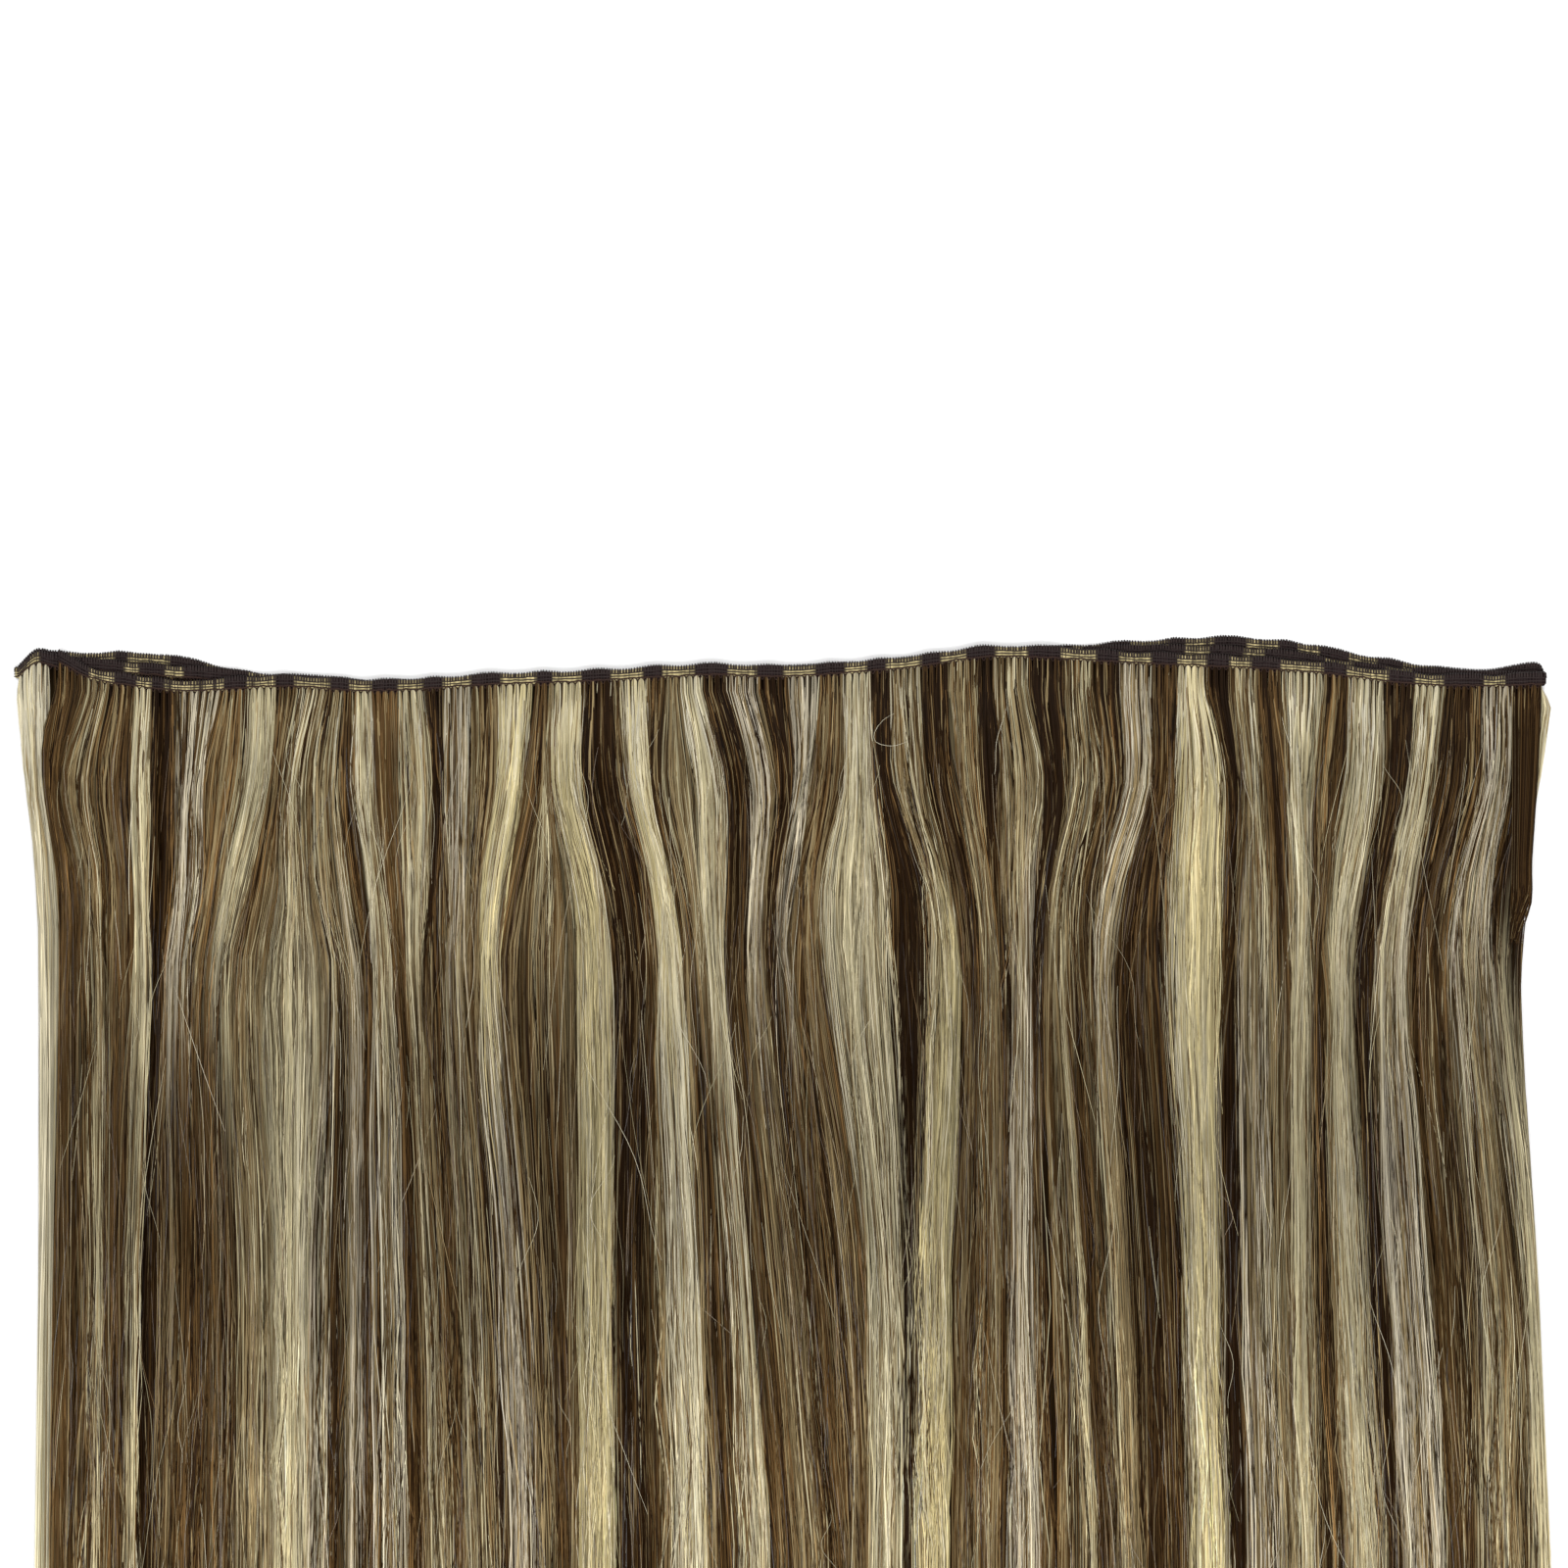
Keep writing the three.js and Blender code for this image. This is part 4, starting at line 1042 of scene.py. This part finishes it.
def add_band_threads(rng):
    """The stitches over the upper edge, the threads along both faces and the loops round the tufts."""
    stitches = np.arange(STITCH_END, strip.length - STITCH_END, STITCH_PITCH)
    stitches += rng.normal(0, 0.05, len(stitches))
    # Stitches run on down the face over dark tufts, and over a few pale ones, more near the ends of the runs
    share = np.clip((np.abs(strip.places(stitches)[:, 0]) - CROSSED_FROM) / CROSSED_OVER, *CROSSED_SHARE)
    crossed = stitches[rng.random(len(stitches)) < np.where(pale_along(stitches, rng), share, 1)]
    blocks = [stitch_tubes(stitches, rng)]
    colours = [THREAD]
    for face in (1.0, -1.0):
        blocks += [crossing_tubes(crossed, face)]
        blocks += [row_tube(row, 0.05, THREAD_RADIUS, face, rng) for row in (THREAD_ROW, MIDDLE_ROW)]
        colours += [THREAD] * 3
        blocks += [row_tube(LOOP_ROW, 0.1, LOOP_ROW_RADIUS, face, rng)]
        blocks += [loop_tubes(strip.slits(), side, face) for side in (-1, 1)]
        colours += [LOOP_THREAD] * 3
    points, faces, places = joined(blocks)
    counts = [len(block[0]) for block in blocks]
    tints = np.repeat([linear(colour) for colour in colours], counts, axis=0)
    add_piece("weft_band_threads", points, faces, tints, thread_material, "weft_band", places)


def add_floor():
    """A plain white floor."""
    bpy.ops.mesh.primitive_plane_add(size=6, location=(0, 0, FLOOR_Z))
    floor = bpy.context.object
    floor.name = "floor"
    material = bpy.data.materials.new("white floor")
    material.use_nodes = True
    nodes, links = material.node_tree.nodes, material.node_tree.links
    noise = nodes.new("ShaderNodeTexNoise")
    noise.inputs["Scale"].default_value = 90
    ramp = nodes.new("ShaderNodeValToRGB")
    for element, grey in zip(ramp.color_ramp.elements, FLOOR_GREYS):
        element.color = (grey, grey, grey, 1)
    shader = nodes["Principled BSDF"]
    links.new(noise.outputs["Fac"], ramp.inputs["Fac"])
    links.new(ramp.outputs["Color"], shader.inputs["Base Color"])
    shader.inputs["Roughness"].default_value = 0.9
    shader.inputs["Specular IOR Level"].default_value = 0.0
    floor.data.materials.append(material)


def add_softbox(name, place, aim, size, watts):
    """A soft rectangular light that faces a point."""
    light = bpy.data.lights.new(name, "AREA")
    light.shape = "RECTANGLE"
    light.size, light.size_y = size
    light.energy = watts
    lamp = bpy.data.objects.new(name, light)
    bpy.context.collection.objects.link(lamp)
    lamp.location = place
    away = np.array(place) - np.array(aim)
    tilt = math.atan2(math.hypot(away[0], away[1]), away[2])
    lamp.rotation_euler = (tilt, 0, math.atan2(away[0], -away[1]))


def add_world(strength):
    world = bpy.data.worlds.new("studio")
    world.use_nodes = True
    sky = world.node_tree.nodes["Background"]
    sky.inputs["Color"].default_value = (1, 1, 1, 1)
    sky.inputs["Strength"].default_value = strength
    bpy.context.scene.world = world


def add_camera(centre, width, height):
    """Looks straight down on a square of the floor."""
    data = bpy.data.cameras.new("camera")
    data.sensor_width = SENSOR
    data.lens = SENSOR * height / width
    camera = bpy.data.objects.new("camera", data)
    bpy.context.collection.objects.link(camera)
    camera.location = (centre[0], centre[1], height)
    bpy.context.scene.camera = camera


rng = np.random.default_rng(SEED)
front = Layer("hair_front", 2, FRONT_RUN, 24, FRONT_LEFT, FRONT_LOCKS)
middle_locks = [FOLD_LOCK] + plain_locks(FOLD_LOCK[2:], MIDDLE_RIGHT, MIDDLE_COUNT, rng)
middle_locks[-1] = ("blonde", "ash", *middle_locks[-1][2:])
middle = Layer("hair_middle", 1, MIDDLE_RUN, 7, MIDDLE_LEFT, middle_locks, dense=(0, -1))
rear = Layer("hair_rear", 0, REAR_RUN, 7, REAR_LEFT, plain_locks(REAR_LEFT, REAR_RIGHT, REAR_COUNT, rng))
strip = Strip()

pale_hair = streaked("pale hair", (300, 50, 300), 0.12, (0.25, 0.36), 0.46)
dark_hair = streaked("dark hair", (300, 50, 300), 0.2, (0.34, 0.5), 0.02)
mass_material = streaked("hair under the loose hair", (1500, 14, 1500), 0.5, (0.5, 0.7), 0.0)
thread_material = streaked("sewing thread", (1800, 1800, 1800), 0.3, (0.65, 0.85), 0.2)

add_strands(front, draw_hairs(front, FRONT_HAIRS, CROSSING_WISPS, FRONT_ROAMERS, rng), STATIONS, 3, rng)
for layer in (middle, rear):
    add_strands(layer, draw_hairs(layer, COVERED_HAIRS, 0, COVERED_ROAMERS, rng), COVERED_STATIONS, 1, rng)
add_mass(front, 5, np.linspace(0, 1, 15) ** 1.5)
for layer in (middle, rear):
    add_mass(layer, 4, np.linspace(0, 1, 11) ** 1.4)
add_band_core(rng)
add_band_threads(rng)
add_surface_hairs(SURFACE_HAIRS, rng)
add_flyaways(FLYAWAYS, rng)
add_short_tress(TRESS_HAIRS, rng)

add_floor()
add_world(WORLD_STRENGTH)
add_softbox("key", **KEY)
add_softbox("fill", **FILL)
add_camera(VIEW_CENTRE, VIEW_WIDTH, CAMERA_HEIGHT)
bpy.context.scene.view_settings.view_transform = "Standard"
